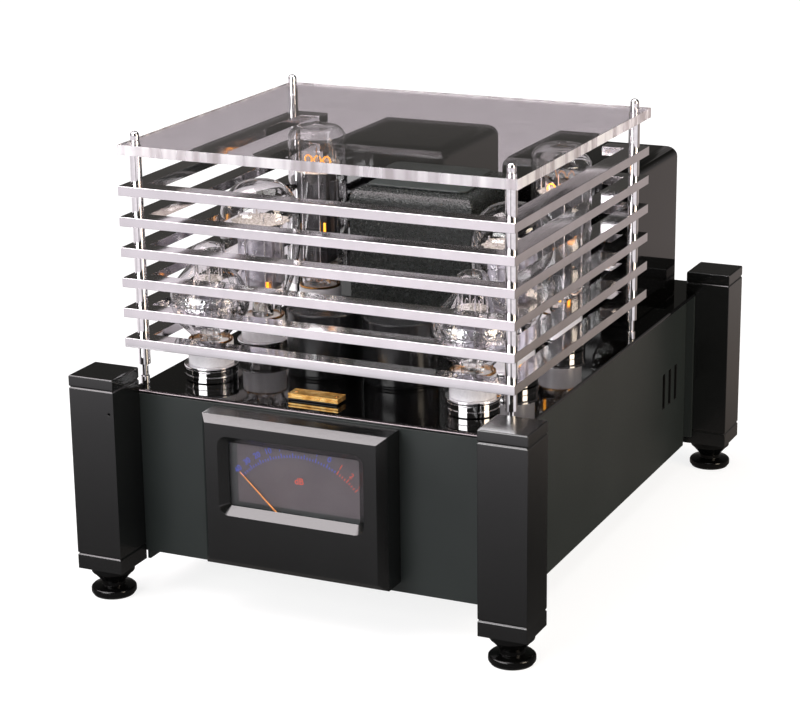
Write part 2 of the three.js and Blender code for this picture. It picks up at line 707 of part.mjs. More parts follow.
function meterBezel() {
  const half = BEZEL_WIDTH / 2;
  const frontHalf = half - BEZEL_SIDE_INSET;
  const corners = [];
  for (const side of SIDES) {
    for (const y of [bezelBack, bezelShoulder]) {
      corners.push(new THREE.Vector3(METER_OFFSET + side.x * half, y, bezelBottom));
      corners.push(new THREE.Vector3(METER_OFFSET + side.x * half, y, bezelTop));
    }
    const x = METER_OFFSET + side.x * frontHalf;
    corners.push(new THREE.Vector3(x, bezelFront, bezelBottom + BEZEL_BOTTOM_INSET));
    corners.push(new THREE.Vector3(x, bezelFront, bezelTop - BEZEL_TOP_INSET));
  }
  const body = solidOf(new ConvexGeometry(corners));
  const rim = [...windowPoints(-OVERRUN, bezelFront - OVERRUN), ...windowPoints(WINDOW_LIP, lipBack)];
  const bevel = solidOf(new ConvexGeometry(rim));
  const throat = drawnAlongY(windowOutline(WINDOW_LIP), lipBack - OVERRUN, lipBack + OVERRUN, BEZEL_ARC);
  const pocketXs = [METER_OFFSET - pocketHalf, METER_OFFSET + pocketHalf];
  const pocket = block(pocketXs, [lipBack, bezelBack + OVERRUN], [pocketBottom, pocketTop]);
  return piece('meter_bezel', cut(body, [bevel, throat, pocket]), blackPaint);
}

// Plate that fills the bezel's pocket between two depths
function pocketPlate(front, back) {
  const half = pocketHalf - GAP;
  const xs = [METER_OFFSET - half, METER_OFFSET + half];
  return block(xs, [front, back], [pocketBottom + GAP, pocketTop - GAP]);
}

function meterGlass() {
  const front = lipBack + GAP;
  return piece('meter_glass', pocketPlate(front, front + GLASS_THICKNESS), glass);
}

const needleX = METER_OFFSET + NEEDLE_PIVOT_OFFSET;
const needleZ = windowBottom - NEEDLE_PIVOT_DROP;

function meterDial() {
  const plate = pocketPlate(dialFace, dialFace + DIAL_THICKNESS);
  const front = dialFace - OVERRUN;
  const back = dialFace + DIAL_THICKNESS + OVERRUN;
  const hole = rodAlongY(NEEDLE_SHAFT_RADIUS + GAP, front, back, COARSE, needleX, needleZ);
  return piece('meter_dial', cut(plate, [hole]), dialGrey);
}

// Needle with its hub and shaft, drawn upright about the pivot and then leaned to rest
function meterNeedle() {
  const hub = rodAlongY(NEEDLE_HUB_RADIUS, -NEEDLE_HUB_HEIGHT, 0, COARSE, 0, 0);
  const shaft = rodAlongY(NEEDLE_SHAFT_RADIUS, -NEEDLE_HUB_HEIGHT / 2, NEEDLE_SHAFT_LENGTH, COARSE, 0, 0);
  const half = NEEDLE_WIDTH / 2;
  const middle = -NEEDLE_HUB_HEIGHT / 2;
  const outline = polygon([
    [-half, -NEEDLE_TAIL], [half, -NEEDLE_TAIL], [half / 2, NEEDLE_LENGTH], [-half / 2, NEEDLE_LENGTH],
  ]);
  const bar = drawnAlongY(outline, middle - NEEDLE_THICKNESS / 2, middle + NEEDLE_THICKNESS / 2);
  const mesh = piece('meter_needle', join([hub, shaft, bar]), needleOrange);
  mesh.rotation.y = -THREE.MathUtils.degToRad(NEEDLE_REST_DEGREES);
  mesh.position.set(needleX, dialFace - GAP, needleZ);
  return mesh;
}

// Things on the deck

function brassPlate() {
  const y = -deckHalfDepth + PLATE_FROM_DECK_FRONT;
  const bottom = deckTop + GAP;
  const pedestalTop = deckTop + PEDESTAL_HEIGHT;
  const width = PLATE_WIDTH / 2;
  const depth = PLATE_DEPTH / 2;
  const inner = [width - PEDESTAL_MARGIN, depth - PEDESTAL_MARGIN];
  const pedestal = block(
    [PLATE_OFFSET - inner[0], PLATE_OFFSET + inner[0]], [y - inner[1], y + inner[1]],
    [bottom, pedestalTop + PLATE_THICKNESS / 2],
  );
  const plate = block(
    [PLATE_OFFSET - width, PLATE_OFFSET + width], [y - depth, y + depth],
    [pedestalTop, pedestalTop + PLATE_THICKNESS],
  );
  return piece('brass_plate', join([pedestal, plate]), brass);
}

function capacitor(side) {
  const bottom = deckTop + GAP;
  const top = deckTop + CAN_HEIGHT;
  const outline = [
    [0, bottom], [CAN_RADIUS, bottom], [CAN_RADIUS, top - CAN_EDGE], [CAN_RADIUS - CAN_EDGE, top],
    [CAN_RADIUS - CAN_EDGE * 2, top], [CAN_RADIUS - CAN_EDGE * 2, top - CAN_RECESS],
    [0, top - CAN_RECESS],
  ];
  const x = MIDDLE_OFFSET + side.x * CAN_PITCH / 2;
  return piece(`capacitor_${side.name}`, turned(outline, FINE, x, canY), canBlack);
}

const powerXs = [MIDDLE_OFFSET - POWER_WIDTH / 2, MIDDLE_OFFSET + POWER_WIDTH / 2];
const powerYs = [powerFrontY, powerFrontY + POWER_DEPTH];
const powerTop = deckTop + POWER_HEIGHT;

function powerTransformer() {
  const solid = roundedCase(powerXs, powerYs, deckTop + GAP, powerTop, POWER_ROUND);
  return piece('power_transformer', solid, crinkleBlack);
}

function powerTransformerLid() {
  const xs = [powerXs[0] + LID_INSET, powerXs[1] - LID_INSET];
  const ys = [powerYs[0] + LID_INSET, powerYs[1] - LID_INSET];
  const outline = roundedRectangle(xs, ys, LID_RADIUS);
  const bottom = powerTop + GAP;
  return piece('power_transformer_lid', raised(outline, bottom, bottom + LID_THICKNESS), glossBlack);
}

function outputTransformer(side) {
  const x = side.x * OUTPUT_CENTRE_X;
  const xs = [x - OUTPUT_WIDTH / 2, x + OUTPUT_WIDTH / 2];
  const ys = [outputFrontY, outputFrontY + OUTPUT_DEPTH];
  const solid = roundedCase(xs, ys, deckTop + GAP, deckTop + OUTPUT_HEIGHT, OUTPUT_ROUND);
  return piece(`output_transformer_${side.name}`, solid, glossBlack);
}

// Sockets and tubes

function pinPlaces(x, y) {
  const places = [];
  for (let i = 0; i < PIN_COUNT; i += 1) {
    const angle = ((i + 0.5) / PIN_COUNT) * Math.PI * 2;
    places.push([x + PIN_CIRCLE_RADIUS * Math.cos(angle), y + PIN_CIRCLE_RADIUS * Math.sin(angle)]);
  }
  return places;
}

// Chromed ring socket with grooves round it, and a body that passes through the deck
function socket(tube, side) {
  const x = tubePlaceX(tube, side);
  const bottom = deckBottom - SPIGOT_DEPTH;
  const outline = [[0, bottom], [SPIGOT_RADIUS, bottom], [SPIGOT_RADIUS, socketBottom]];
  outline.push([SOCKET_RADIUS, socketBottom]);
  for (const share of SOCKET_GROOVE_SHARES) {
    const z = socketBottom + share * (socketTop - socketBottom);
    outline.push([SOCKET_RADIUS, z - SOCKET_GROOVE_HEIGHT]);
    outline.push([SOCKET_RADIUS - SOCKET_GROOVE_DEPTH, z]);
    outline.push([SOCKET_RADIUS, z + SOCKET_GROOVE_HEIGHT]);
  }
  outline.push([SOCKET_RADIUS, socketTop], [0, socketTop]);
  const holes = pinPlaces(x, tube.y).map(([px, py]) => rod(
    PIN_RADIUS + GAP, flangeBottom - PIN_LENGTH - OVERRUN, socketTop + OVERRUN, PIN_FACETS, px, py,
  ));
  const solid = cut(turned(outline, MEDIUM, x, tube.y), holes);
  return piece(`socket_${tube.name}_${side.name}`, solid, chrome);
}

// Radius and height of the bulb's outside, from the neck to the tip
function bulbOutline(tube) {
  const bottom = baseTop + GAP;
  const neck = [[NECK_RADIUS, bottom], [NECK_RADIUS, bottom + NECK_HEIGHT_SHARE * tube.height]];
  const shoulder = tube.shares.map(([radius, height]) => [
    radius * tube.radius, bottom + height * tube.height,
  ]);
  return neck.concat(shoulder, [[0, bottom + tube.height]]);
}

function tubeGlass(tube, side) {
  const outside = bulbOutline(tube);
  const inside = outside.slice(0, -1).map(([radius, z]) => [radius - GLASS_WALL, z]);
  const tip = outside[outside.length - 1][1] - GLASS_WALL;
  const lastRing = inside[inside.length - 1];
  lastRing[1] = Math.min(lastRing[1], tip);
  const outline = inside.reverse();
  outline.unshift([0, tip]);
  const closed = outline.concat(outside);
  const solid = turned(closed, BULB_FACETS, tubePlaceX(tube, side), tube.y);
  return piece(`tube_${tube.name}_${side.name}_glass`, solid, glass);
}

// Ceramic base with flange, collar and pins, carrying the stem, support rods, anode and mica
function tubeBase(tube, side) {
  const x = tubePlaceX(tube, side);
  const y = tube.y;
  const flangeTop = flangeBottom + FLANGE_THICKNESS;
  const collarTop = baseTop + COLLAR_HEIGHT;
  const collarInner = NECK_RADIUS + GAP;
  const stemTop = baseTop + STEM_HEIGHT;
  const [width, depth, height] = tube.anode;
  const anodeTop = stemTop + height;
  const rodTop = anodeTop + ROD_SIDE;
  const outline = [
    [0, flangeBottom], [FLANGE_RADIUS, flangeBottom], [FLANGE_RADIUS, flangeTop],
    [BASE_RADIUS, flangeTop], [BASE_RADIUS, baseTop], [COLLAR_RADIUS, baseTop],
    [COLLAR_RADIUS, collarTop], [collarInner, collarTop], [collarInner, baseTop],
    [STEM_RADIUS, baseTop], [STEM_RADIUS, stemTop], [0, stemTop],
  ];
  const parts = [turned(outline, BULB_FACETS, x, y)];
  for (const [px, py] of pinPlaces(x, y)) {
    parts.push(rod(PIN_RADIUS, flangeBottom - PIN_LENGTH, flangeTop, PIN_FACETS, px, py));
  }
  parts.push(block(
    [x - width / 2, x + width / 2], [y - depth / 2, y + depth / 2], [stemTop - ROD_SIDE, anodeTop],
  ));
  for (const end of SIDES) {
    const rodX = x + end.x * (width / 2 - ROD_SIDE);
    parts.push(block(
      [rodX - ROD_SIDE / 2, rodX + ROD_SIDE / 2], [y - ROD_SIDE / 2, y + ROD_SIDE / 2],
      [anodeTop - ROD_SIDE, rodTop + ROD_SIDE],
    ));
  }
  parts.push(rod(tube.mica, rodTop, rodTop + MICA_THICKNESS, COARSE, x, y));
  return piece(`tube_${tube.name}_${side.name}_base`, join(parts), ceramic);
}

// Cage

function cageRail(level) {
  const top = firstRailTop + level * railPitch;
  const outer = railHalf;
  const inner = railHalf - RAIL_WIDTH;
  const stub = railHalf - RAIL_RETURN;
  const frontInner = railFrontY + RAIL_WIDTH;
  const rearInner = railRearY - RAIL_WIDTH;
  const outline = polygon([
    [-outer, railFrontY], [outer, railFrontY], [outer, railRearY], [stub, railRearY],
    [stub, rearInner], [inner, rearInner], [inner, frontInner], [-inner, frontInner],
    [-inner, rearInner], [-stub, rearInner], [-stub, railRearY], [-outer, railRearY],
  ]);
  const bar = raised(outline, top - RAIL_HEIGHT, top);
  const holes = CORNERS.map((corner) => rod(
    POST_RADIUS + GAP, top - RAIL_HEIGHT - OVERRUN, top + OVERRUN, COARSE,
    corner.x * postX, corner.y < 0 ? postFrontY : postRearY,
  ));
  return piece(`cage_rail_${level + 1}`, cut(bar, holes), barAluminium);
}

function cagePost(corner) {
  const pinBottom = deckBottom - POST_PIN_BELOW_DECK;
  const neckBottom = ferruleTop + GAP;
  const rodBottom = neckBottom + POST_NECK_HEIGHT;
  const domeBottom = postShoulder + FINIAL_STRAIGHT;
  const outline = [
    [0, pinBottom], [POST_PIN_RADIUS, pinBottom], [POST_PIN_RADIUS, neckBottom],
    [POST_NECK_RADIUS, neckBottom], [POST_NECK_RADIUS, rodBottom],
    [POST_RADIUS - POST_EDGE, rodBottom], [POST_RADIUS, rodBottom + POST_EDGE],
    [POST_RADIUS, postShoulder], [FINIAL_RADIUS, postShoulder], [FINIAL_RADIUS, domeBottom],
    [FINIAL_RADIUS * Math.SQRT1_2, domeBottom + FINIAL_DOME * Math.SQRT1_2],
    [0, domeBottom + FINIAL_DOME],
  ];
  const y = corner.y < 0 ? postFrontY : postRearY;
  const solid = turned(outline, COARSE, corner.x * postX, y);
  return piece(`cage_post_${corner.name}`, solid, chrome);
}

function roofPlate() {
  const half = railHalf + ROOF_OVERHANG_SIDE;
  const ys = [railFrontY + ROOF_FRONT_SETBACK, railRearY + ROOF_REAR_OVERHANG];
  const top = roofBottom + ROOF_THICKNESS;
  const plate = block([-half, half], ys, [roofBottom, top]);
  const holes = CORNERS.map((corner) => rod(
    FINIAL_RADIUS + GAP, roofBottom - OVERRUN, top + OVERRUN, COARSE,
    corner.x * postX, corner.y < 0 ? postFrontY : postRearY,
  ));
  return piece('roof_plate', cut(plate, holes), acrylic);
}

// Rear panel fittings

const switchBodyWidth = SWITCH_FLANGE_WIDTH - SWITCH_BODY_MARGIN * 2;
const switchBodyHeight = SWITCH_FLANGE_HEIGHT - SWITCH_BODY_MARGIN * 2;

// Low and high values of a box centred on x and z, for block()
function spanAbout(x, z, width, height, ys, margin = 0) {
  const halfX = width / 2 + margin;
  const halfZ = height / 2 + margin;
  return [[x - halfX, x + halfX], ys, [z - halfZ, z + halfZ]];
}

function studPlaces(x, pitch) {
  return SIDES.map((side) => x + side.x * pitch / 2);
}

function mainsInlet() {
  const face = rearFace + INLET_FLANGE_THICKNESS;
  const floor = face - INLET_CAVITY_DEPTH;
  const flange = block(...spanAbout(
    INLET_X, fittingZ, INLET_FLANGE_WIDTH, INLET_FLANGE_HEIGHT, [rearFace, face],
  ));
  const body = block(...spanAbout(
    INLET_X, fittingZ, INLET_BODY_WIDTH, INLET_BODY_HEIGHT, [rearFace - INLET_BODY_DEPTH, face],
  ));
  const cavity = block(...spanAbout(
    INLET_X, fittingZ, INLET_CAVITY_WIDTH, INLET_CAVITY_HEIGHT, [floor, face + OVERRUN],
  ));
  const shell = cut(join([flange, body]), [cavity]);
  const places = [[0, BLADE_RISE], [-BLADE_SPREAD, -BLADE_RISE], [BLADE_SPREAD, -BLADE_RISE]];
  const blades = places.map(([dx, dz]) => block(...spanAbout(
    INLET_X + dx, fittingZ + dz, BLADE_WIDTH, BLADE_HEIGHT, [floor - OVERRUN, floor + BLADE_LENGTH],
  )));
  return piece('mains_inlet', join([shell, ...blades]), plastic);
}

const rockerY = rearFace + SWITCH_FLANGE_THICKNESS - ROCKER_MIDDLE_RISE;

function switchFrame() {
  const face = rearFace + SWITCH_FLANGE_THICKNESS;
  const flange = block(...spanAbout(
    SWITCH_X, fittingZ, SWITCH_FLANGE_WIDTH, SWITCH_FLANGE_HEIGHT, [rearFace, face],
  ));
  const body = block(...spanAbout(
    SWITCH_X, fittingZ, switchBodyWidth, switchBodyHeight, [rearFace - SWITCH_BODY_DEPTH, face],
  ));
  const tilt = THREE.MathUtils.degToRad(ROCKER_TILT_DEGREES);
  const reach = ROCKER_HALF_HEIGHT * Math.cos(tilt) + ROCKER_END_RISE * Math.sin(tilt);
  const drop = ROCKER_FOOT_DROP * Math.cos(tilt) + ROCKER_FOOT_HALF * Math.sin(tilt);
  const cavity = block(...spanAbout(
    SWITCH_X, fittingZ, ROCKER_WIDTH, reach * 2, [rockerY - drop - GAP, face + OVERRUN], GAP,
  ));
  const bore = rodAlongX(AXLE_RADIUS + GAP, ROCKER_WIDTH / 2 + AXLE_STUB + GAP, COARSE);
  const solid = cut(join([flange, body]), [cavity, bore.translate([SWITCH_X, rockerY, fittingZ])]);
  return piece('switch_frame', solid, plastic);
}

// Rocker with its axle stubs, drawn level about the axle and then tilted to its off position
function switchRocker() {
  const outline = polygon([
    [ROCKER_END_FOOT, -ROCKER_HALF_HEIGHT], [ROCKER_END_RISE, -ROCKER_HALF_HEIGHT],
    [ROCKER_MIDDLE_RISE, 0], [ROCKER_END_RISE, ROCKER_HALF_HEIGHT],
    [ROCKER_END_FOOT, ROCKER_HALF_HEIGHT], [-ROCKER_FOOT_DROP, ROCKER_FOOT_HALF],
    [-ROCKER_FOOT_DROP, -ROCKER_FOOT_HALF],
  ]);
  const body = drawnAlongX(outline, -ROCKER_WIDTH / 2, ROCKER_WIDTH / 2);
  const axle = rodAlongX(AXLE_RADIUS, ROCKER_WIDTH / 2 + AXLE_STUB, COARSE);
  const mesh = piece('switch_rocker', join([body, axle]), plastic);
  mesh.rotation.x = THREE.MathUtils.degToRad(ROCKER_TILT_DEGREES);
  mesh.position.set(SWITCH_X, rockerY, fittingZ);
  return mesh;
}

// Two bored sockets side by side on one plate, each with a stud through the panel
function socketPair(name, x, pitch, plateSize, barrel, bore, studRadius, look) {
  const [width, height, thickness] = plateSize;
  const face = rearFace + thickness;
  const end = face + barrel.length;
  const parts = [block(...spanAbout(x, fittingZ, width, height, [rearFace, face]))];
  const cutters = [];
  for (const place of studPlaces(x, pitch)) {
    parts.push(rodAlongY(barrel.radius, rearFace, end, MEDIUM, place, fittingZ));
    parts.push(rodAlongY(studRadius, rearFace - STUD_LENGTH, face, COARSE, place, fittingZ));
    cutters.push(rodAlongY(bore.radius, end - bore.depth, end + OVERRUN, COARSE, place, fittingZ));
  }
  return piece(name, cut(join(parts), cutters), look);
}

function inputJacks() {
  return socketPair(
    'input_jacks', JACK_PLATE_X, JACK_PITCH,
    [JACK_PLATE_WIDTH, JACK_PLATE_HEIGHT, JACK_PLATE_THICKNESS],
    { radius: JACK_RADIUS, length: JACK_LENGTH },
    { radius: JACK_BORE_RADIUS, depth: JACK_BORE_DEPTH }, JACK_STUD_RADIUS, plastic,
  );
}

function speakerSockets(side) {
  return socketPair(
    `speaker_sockets_${side.name}`, side.x * SPEAKER_X, SPEAKER_PITCH,
    [SPEAKER_PLATE_WIDTH, SPEAKER_PLATE_HEIGHT, SPEAKER_PLATE_THICKNESS],
    { radius: SPEAKER_RADIUS, length: SPEAKER_LENGTH },
    { radius: SPEAKER_BORE_RADIUS, depth: SPEAKER_BORE_DEPTH }, SPEAKER_STUD_RADIUS, plastic,
  );
}

// The whole amplifier

const amplifier = new THREE.Group();
amplifier.add(deckPlate(), frontPanel(), rearPanel(), bottomPlate());
amplifier.add(meterBezel(), meterGlass(), meterDial(), meterNeedle(), brassPlate());
for (const corner of CORNERS) {
  amplifier.add(pillar(corner), foot(corner), cagePost(corner));
}
for (const side of SIDES) {
  amplifier.add(sidePanel(side), capacitor(side), outputTransformer(side), speakerSockets(side));
  for (const tube of TUBES) {
    amplifier.add(socket(tube, side), tubeGlass(tube, side), tubeBase(tube, side));
  }
}
for (let level = 0; level < RAIL_COUNT; level += 1) {
  amplifier.add(cageRail(level));
}
amplifier.add(roofPlate(), powerTransformer(), powerTransformerLid());
amplifier.add(mainsInlet(), switchFrame(), switchRocker(), inputJacks());

export default amplifier;
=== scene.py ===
"""Looks of the caged tube power amplifier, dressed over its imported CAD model. Metres, +Z up."""

import json
import math
import bmesh
import bpy
from mathutils import Matrix, Vector


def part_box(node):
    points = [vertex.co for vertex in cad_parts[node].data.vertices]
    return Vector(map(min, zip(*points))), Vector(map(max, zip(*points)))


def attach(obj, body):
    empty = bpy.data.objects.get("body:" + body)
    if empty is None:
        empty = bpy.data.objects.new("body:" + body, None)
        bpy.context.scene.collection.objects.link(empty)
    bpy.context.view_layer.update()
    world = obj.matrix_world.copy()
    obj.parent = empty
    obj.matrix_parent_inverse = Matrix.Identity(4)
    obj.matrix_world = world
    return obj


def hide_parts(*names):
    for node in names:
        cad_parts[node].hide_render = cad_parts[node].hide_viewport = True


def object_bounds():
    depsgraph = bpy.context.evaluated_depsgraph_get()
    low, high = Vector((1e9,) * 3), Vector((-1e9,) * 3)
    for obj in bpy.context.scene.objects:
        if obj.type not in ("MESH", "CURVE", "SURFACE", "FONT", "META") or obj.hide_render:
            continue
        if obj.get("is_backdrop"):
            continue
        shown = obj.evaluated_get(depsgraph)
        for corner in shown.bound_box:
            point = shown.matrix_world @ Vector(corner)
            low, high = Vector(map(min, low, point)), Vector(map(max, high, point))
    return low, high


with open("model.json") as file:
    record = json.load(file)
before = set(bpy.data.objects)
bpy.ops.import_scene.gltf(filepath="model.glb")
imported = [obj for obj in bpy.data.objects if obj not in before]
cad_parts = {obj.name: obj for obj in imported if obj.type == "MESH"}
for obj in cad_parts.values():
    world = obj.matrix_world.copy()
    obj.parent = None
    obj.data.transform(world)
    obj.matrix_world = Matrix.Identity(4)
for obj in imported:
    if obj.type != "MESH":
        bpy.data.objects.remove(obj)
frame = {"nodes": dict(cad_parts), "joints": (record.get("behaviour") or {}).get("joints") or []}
cad_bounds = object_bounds()

NODES = frame["nodes"]
SIDES = ("left", "right")
CORNERS = ("front_left", "front_right", "rear_left", "rear_right")

# Space between solids, and the distance within which two points are one
GAP = 0.0003
SAME_SPOT = 0.000001

# Sides of a turned piece
ROUND_SIDES = 48

# In degrees: the greatest angle between faces that count as one, and the least of a low, a sharp and a
# steep edge
FLAT_ANGLE = 1
LOW_ANGLE = 30
SHARP_ANGLE = 40
STEEP_ANGLE = 60

# Least cosines of a face that looks along an axis, and of one that leans to it
FACING = 0.9
LEANING = 0.5


# Colours, nodes and materials

def linear(colour):
    """Linear RGBA of an sRGB hex colour."""
    channels = [int(colour[i:i + 2], 16) / 255 for i in (1, 3, 5)]
    values = [c / 12.92 if c <= 0.04045 else ((c + 0.055) / 1.055) ** 2.4 for c in channels]
    return (*values, 1.0)


def every(millimetres):
    """Scale at which a texture repeats about once in this many millimetres."""
    return 1000 / millimetres


def add(tree, kind, inputs=None, stops=(), **settings):
    """One shader node: inputs hold values, sockets or nodes to link, stops the colours of a ramp."""
    made = tree.nodes.new(f"ShaderNode{kind}")
    for key, value in settings.items():
        setattr(made, key, value)
    for key, value in (inputs or {}).items():
        if isinstance(value, bpy.types.Node):
            value = value.outputs[0]
        if isinstance(value, bpy.types.NodeSocket):
            tree.links.new(value, made.inputs[key])
        else:
            made.inputs[key].default_value = value
    if stops:
        elements = made.color_ramp.elements
        while len(elements) < len(stops):
            elements.new(0.5)
        for element, (position, colour) in zip(elements, stops):
            element.position = position
            element.color = linear(colour)
    return made


def bare_tree(owner):
    """Node tree of a material or a world, emptied."""
    owner.use_nodes = True
    owner.node_tree.nodes.clear()
    return owner.node_tree


LOOKS = {}
CLEAR_LOOKS = ("acrylic", "glass", "window", "getter")
SHADE_SPAN = (0.3, 0.7)


def look(name):
    """Makes the material of the recipe below it, named for the recipe, and keeps it as a look."""
    def make(recipe):
        LOOKS[name] = bpy.data.materials.new(recipe.__name__)
        tree = bare_tree(LOOKS[name])
        spot = add(tree, "TexCoord").outputs["Object"]
        shader = add(tree, "BsdfPrincipled", recipe(tree, spot))
        add(tree, "OutputMaterial", {"Surface": shader})
        return recipe
    return make


def coat(tree, values, shades, gloss=None, relief=None, span=SHADE_SPAN):
    """A shader's inputs: fixed values, and a pattern each that drives its shades, its gloss from least
    to most rough, and its relief by a depth in metres and a strength."""
    pattern, *colours = shades
    step = (span[1] - span[0]) / (len(colours) - 1)
    stops = [(span[0] + step * i, colour) for i, colour in enumerate(colours)]
    inputs = {**values, "Base Color": add(tree, "ValToRGB", {"Fac": pattern}, stops)}
    if gloss:
        inputs["Roughness"] = add(tree, "MapRange", dict(zip(("Value", "To Min", "To Max"), gloss)))
    if relief:
        inputs["Normal"] = add(tree, "Bump", dict(zip(("Height", "Distance", "Strength"), relief)))
    return inputs


def noise_coat(tree, spot, size, detail, values, shades, gloss=None, relief=None, cloud=None,
               stretch=None, span=SHADE_SPAN):
    """Inputs of a finish with a grain of size millimetres, whose shades may follow a broader cloud."""
    if cloud:
        cloud = add(tree, "TexNoise", {"Vector": spot, "Scale": every(cloud[0]), "Detail": cloud[1]})
    if stretch:
        spot = add(tree, "Mapping", {"Vector": spot, "Scale": stretch})
    grain = add(tree, "TexNoise", {"Vector": spot, "Scale": every(size), "Detail": detail})
    gloss, relief = (ends and (grain, *ends) for ends in (gloss, relief))
    return coat(tree, values, (cloud or grain, *shades), gloss, relief, span)


# Blasted, milled, cut, rolled, turned, moulded and printed grain is about 0.1 mm across, which is too
# fine to show in the render, so it is drawn at 0.4 to 1.2 mm.

@look("pillar")
def blasted_anodised_aluminium(tree, spot):
    # Anodised aluminium, bead blasted: deep black whose fine grain spreads a reflection softly
    return noise_coat(tree, spot, 0.4, 2.0, {"IOR": 1.8}, ("#060707", "#0b0c0c"), (0.16, 0.26),
                      (0.00001, 0.3), cloud=(60, 3.0))


@look("bezel")
def satin_anodised_aluminium(tree, spot):
    # Anodised aluminium, finely milled: black with a satin glance that brightens on its chamfers
    return noise_coat(tree, spot, 0.6, 2.0, {"IOR": 1.75}, ("#080909", "#0d0e0e"), (0.14, 0.24),
                      (0.000006, 0.3), cloud=(50, 3.0), stretch=(0.04, 1.0, 1.0))


@look("panel")
def powder_coated_steel(tree, spot):
    # Powder coated steel, sprayed and baked: dark green-grey with a fine grain that dulls the gloss
    return noise_coat(tree, spot, 1.1, 3.0, {"IOR": 1.5}, ("#212625", "#282d2c"), (0.30, 0.44),
                      (0.00004, 0.5), cloud=(110, 2.0))


@look("punched")
# Painted shade on the walls of the vent slots: near black and dull, for the dark inside of the chassis seen
# through them
def punched_steel_edge(tree, spot):
    # Steel, punched through its coat: the raw wall of a slot, dull and black
    return noise_coat(tree, spot, 0.6, 3.0, {"IOR": 1.4}, ("#020202", "#060505"), (0.55, 0.75))


@look("lacquer")
def polished_lacquered_steel(tree, spot):
    # Black lacquered steel, flatted and polished: a near mirror with a faint long wave
    wave = add(tree, "TexNoise", {"Vector": spot, "Scale": every(14), "Detail": 1.0})
    cloud = add(tree, "TexNoise", {"Vector": spot, "Scale": every(45), "Detail": 2.0})
    return coat(tree, {"IOR": 1.52}, (cloud, "#020202", "#040404"), (cloud, 0.03, 0.07), (wave, 0.00002, 0.3))


@look("wrinkle")
def wrinkle_enamelled_steel(tree, spot):
    # Enamelled steel, baked to a wrinkle: small dark hills that each catch a glint
    hills = add(tree, "TexVoronoi", {"Vector": spot, "Scale": every(1.3)}, feature="SMOOTH_F1")
    warp = add(tree, "TexNoise", {"Vector": spot, "Scale": every(1.7), "Detail": 3.0})
    return coat(tree, {"IOR": 1.52}, (warp, "#131514", "#212423"), (warp, 0.18, 0.36), (hills, 0.0005, 0.9))


@look("bar")
def polished_aluminium_bar(tree, spot):
    # Aluminium, extruded and polished lengthwise: a bright mirror drawn out in faint streaks
    return noise_coat(tree, spot, 0.8, 2.0, {"Metallic": 1.0}, ("#e6e3e6", "#f1eef1"), (0.05, 0.13),
                      (0.000004, 0.4), cloud=(30, 2.0), stretch=(0.02, 0.02, 1.0))


@look("cut_edge_and_highlight")
def cut_steel_edge(tree, spot):
    # Steel, edge cut after lacquering and sealed clear: a satin line of warm grey metal; partly a painted
    # highlight
    return noise_coat(tree, spot, 1.2, 2.0, {"Metallic": 1.0}, ("#6c6668", "#7a7375"), (0.2, 0.32))


@look("chrome")
def chromed_brass(tree, spot):
    # Chromed brass, turned and buffed: a clean mirror with the lightest haze
    return noise_coat(tree, spot, 4, 3.0, {"Metallic": 1.0}, ("#eae8ea", "#f6f5f6"), (0.03, 0.08))


@look("gold")
def gilded_brass(tree, spot):
    # Gilded brass, turned: warm yellow metal with a soft haze
    return noise_coat(tree, spot, 3, 3.0, {"Metallic": 1.0}, ("#b27c45", "#dba869"), (0.12, 0.24))


@look("brass")
def rolled_brass_sheet(tree, spot):
    # Brass, rolled and lacquered: golden with fine rolling lines and darker tarnished patches
    return noise_coat(tree, spot, 0.5, 2.0, {"Metallic": 0.75}, ("#b07a34", "#dca85a", "#f6d590"),
                      (0.2, 0.38), (0.00001, 0.5), cloud=(7, 4.0), stretch=(0.03, 1.0, 1.0))


@look("acrylic")
def cast_acrylic_sheet(tree, spot):
    # Acrylic, cast between glass plates: clear, with a breath of warm grey in its thickness
    return noise_coat(tree, spot, 25, 3.0, {"Transmission Weight": 1.0, "IOR": 1.49},
                      ("#f3f0f2", "#faf8f9"), (0.0, 0.01))


@look("acrylic_edge")
def sawn_acrylic_edge(tree, spot):
    # Acrylic, sawn and its edge polished by hand: milky and bright, broken up by upright tool marks
    return noise_coat(tree, spot, 14, 2.0, {"Transmission Weight": 0.35, "IOR": 1.49},
                      ("#aea7ab", "#cfcad0", "#efedf0"), (0.15, 0.4), stretch=(1.0, 1.0, 0.08),
                      span=(0.35, 0.65))


@look("glass")
def blown_glass(tree, spot):
    # Soda-lime glass, blown in a mould: clear and thin, drawn only by its highlights
    return noise_coat(tree, spot, 20, 1.0, {"Transmission Weight": 1.0, "IOR": 1.5},
                      ("#f8f9f9", "#ffffff"), (0.0, 0.01), (0.0002, 0.3))


@look("window")
def float_glass(tree, spot):
    # Float glass, coated against glare: nearly unseen
    return noise_coat(tree, spot, 30, 2.0, {"Transmission Weight": 1.0, "IOR": 1.4},
                      ("#f4f4f6", "#fcfcfd"), (0.0, 0.004))


@look("getter")
def getter_flash(tree, spot):
    # Barium, flashed on the glass: a broken silver mirror with ragged gaps
    islands = add(tree, "TexNoise", {"Vector": spot, "Scale": every(5), "Detail": 5.0})
    holes = add(tree, "MapRange",
                {"Value": islands, "From Min": 0.44, "From Max": 0.54, "To Min": 0.0, "To Max": 0.9})
    return coat(tree, {"Roughness": 0.12, "Metallic": 1.0, "Alpha": holes}, (islands, "#a3a0aa", "#ffffff"),
                relief=(islands, 0.002, 0.8))


@look("ceramic")
def glazed_steatite(tree, spot):
    # Steatite ceramic, pressed and glazed: warm white with a wet highlight
    return noise_coat(tree, spot, 1.5, 3.0, {"IOR": 1.6}, ("#efecf2", "#faf8fc"), (0.14, 0.26),
                      (0.00002, 0.3))


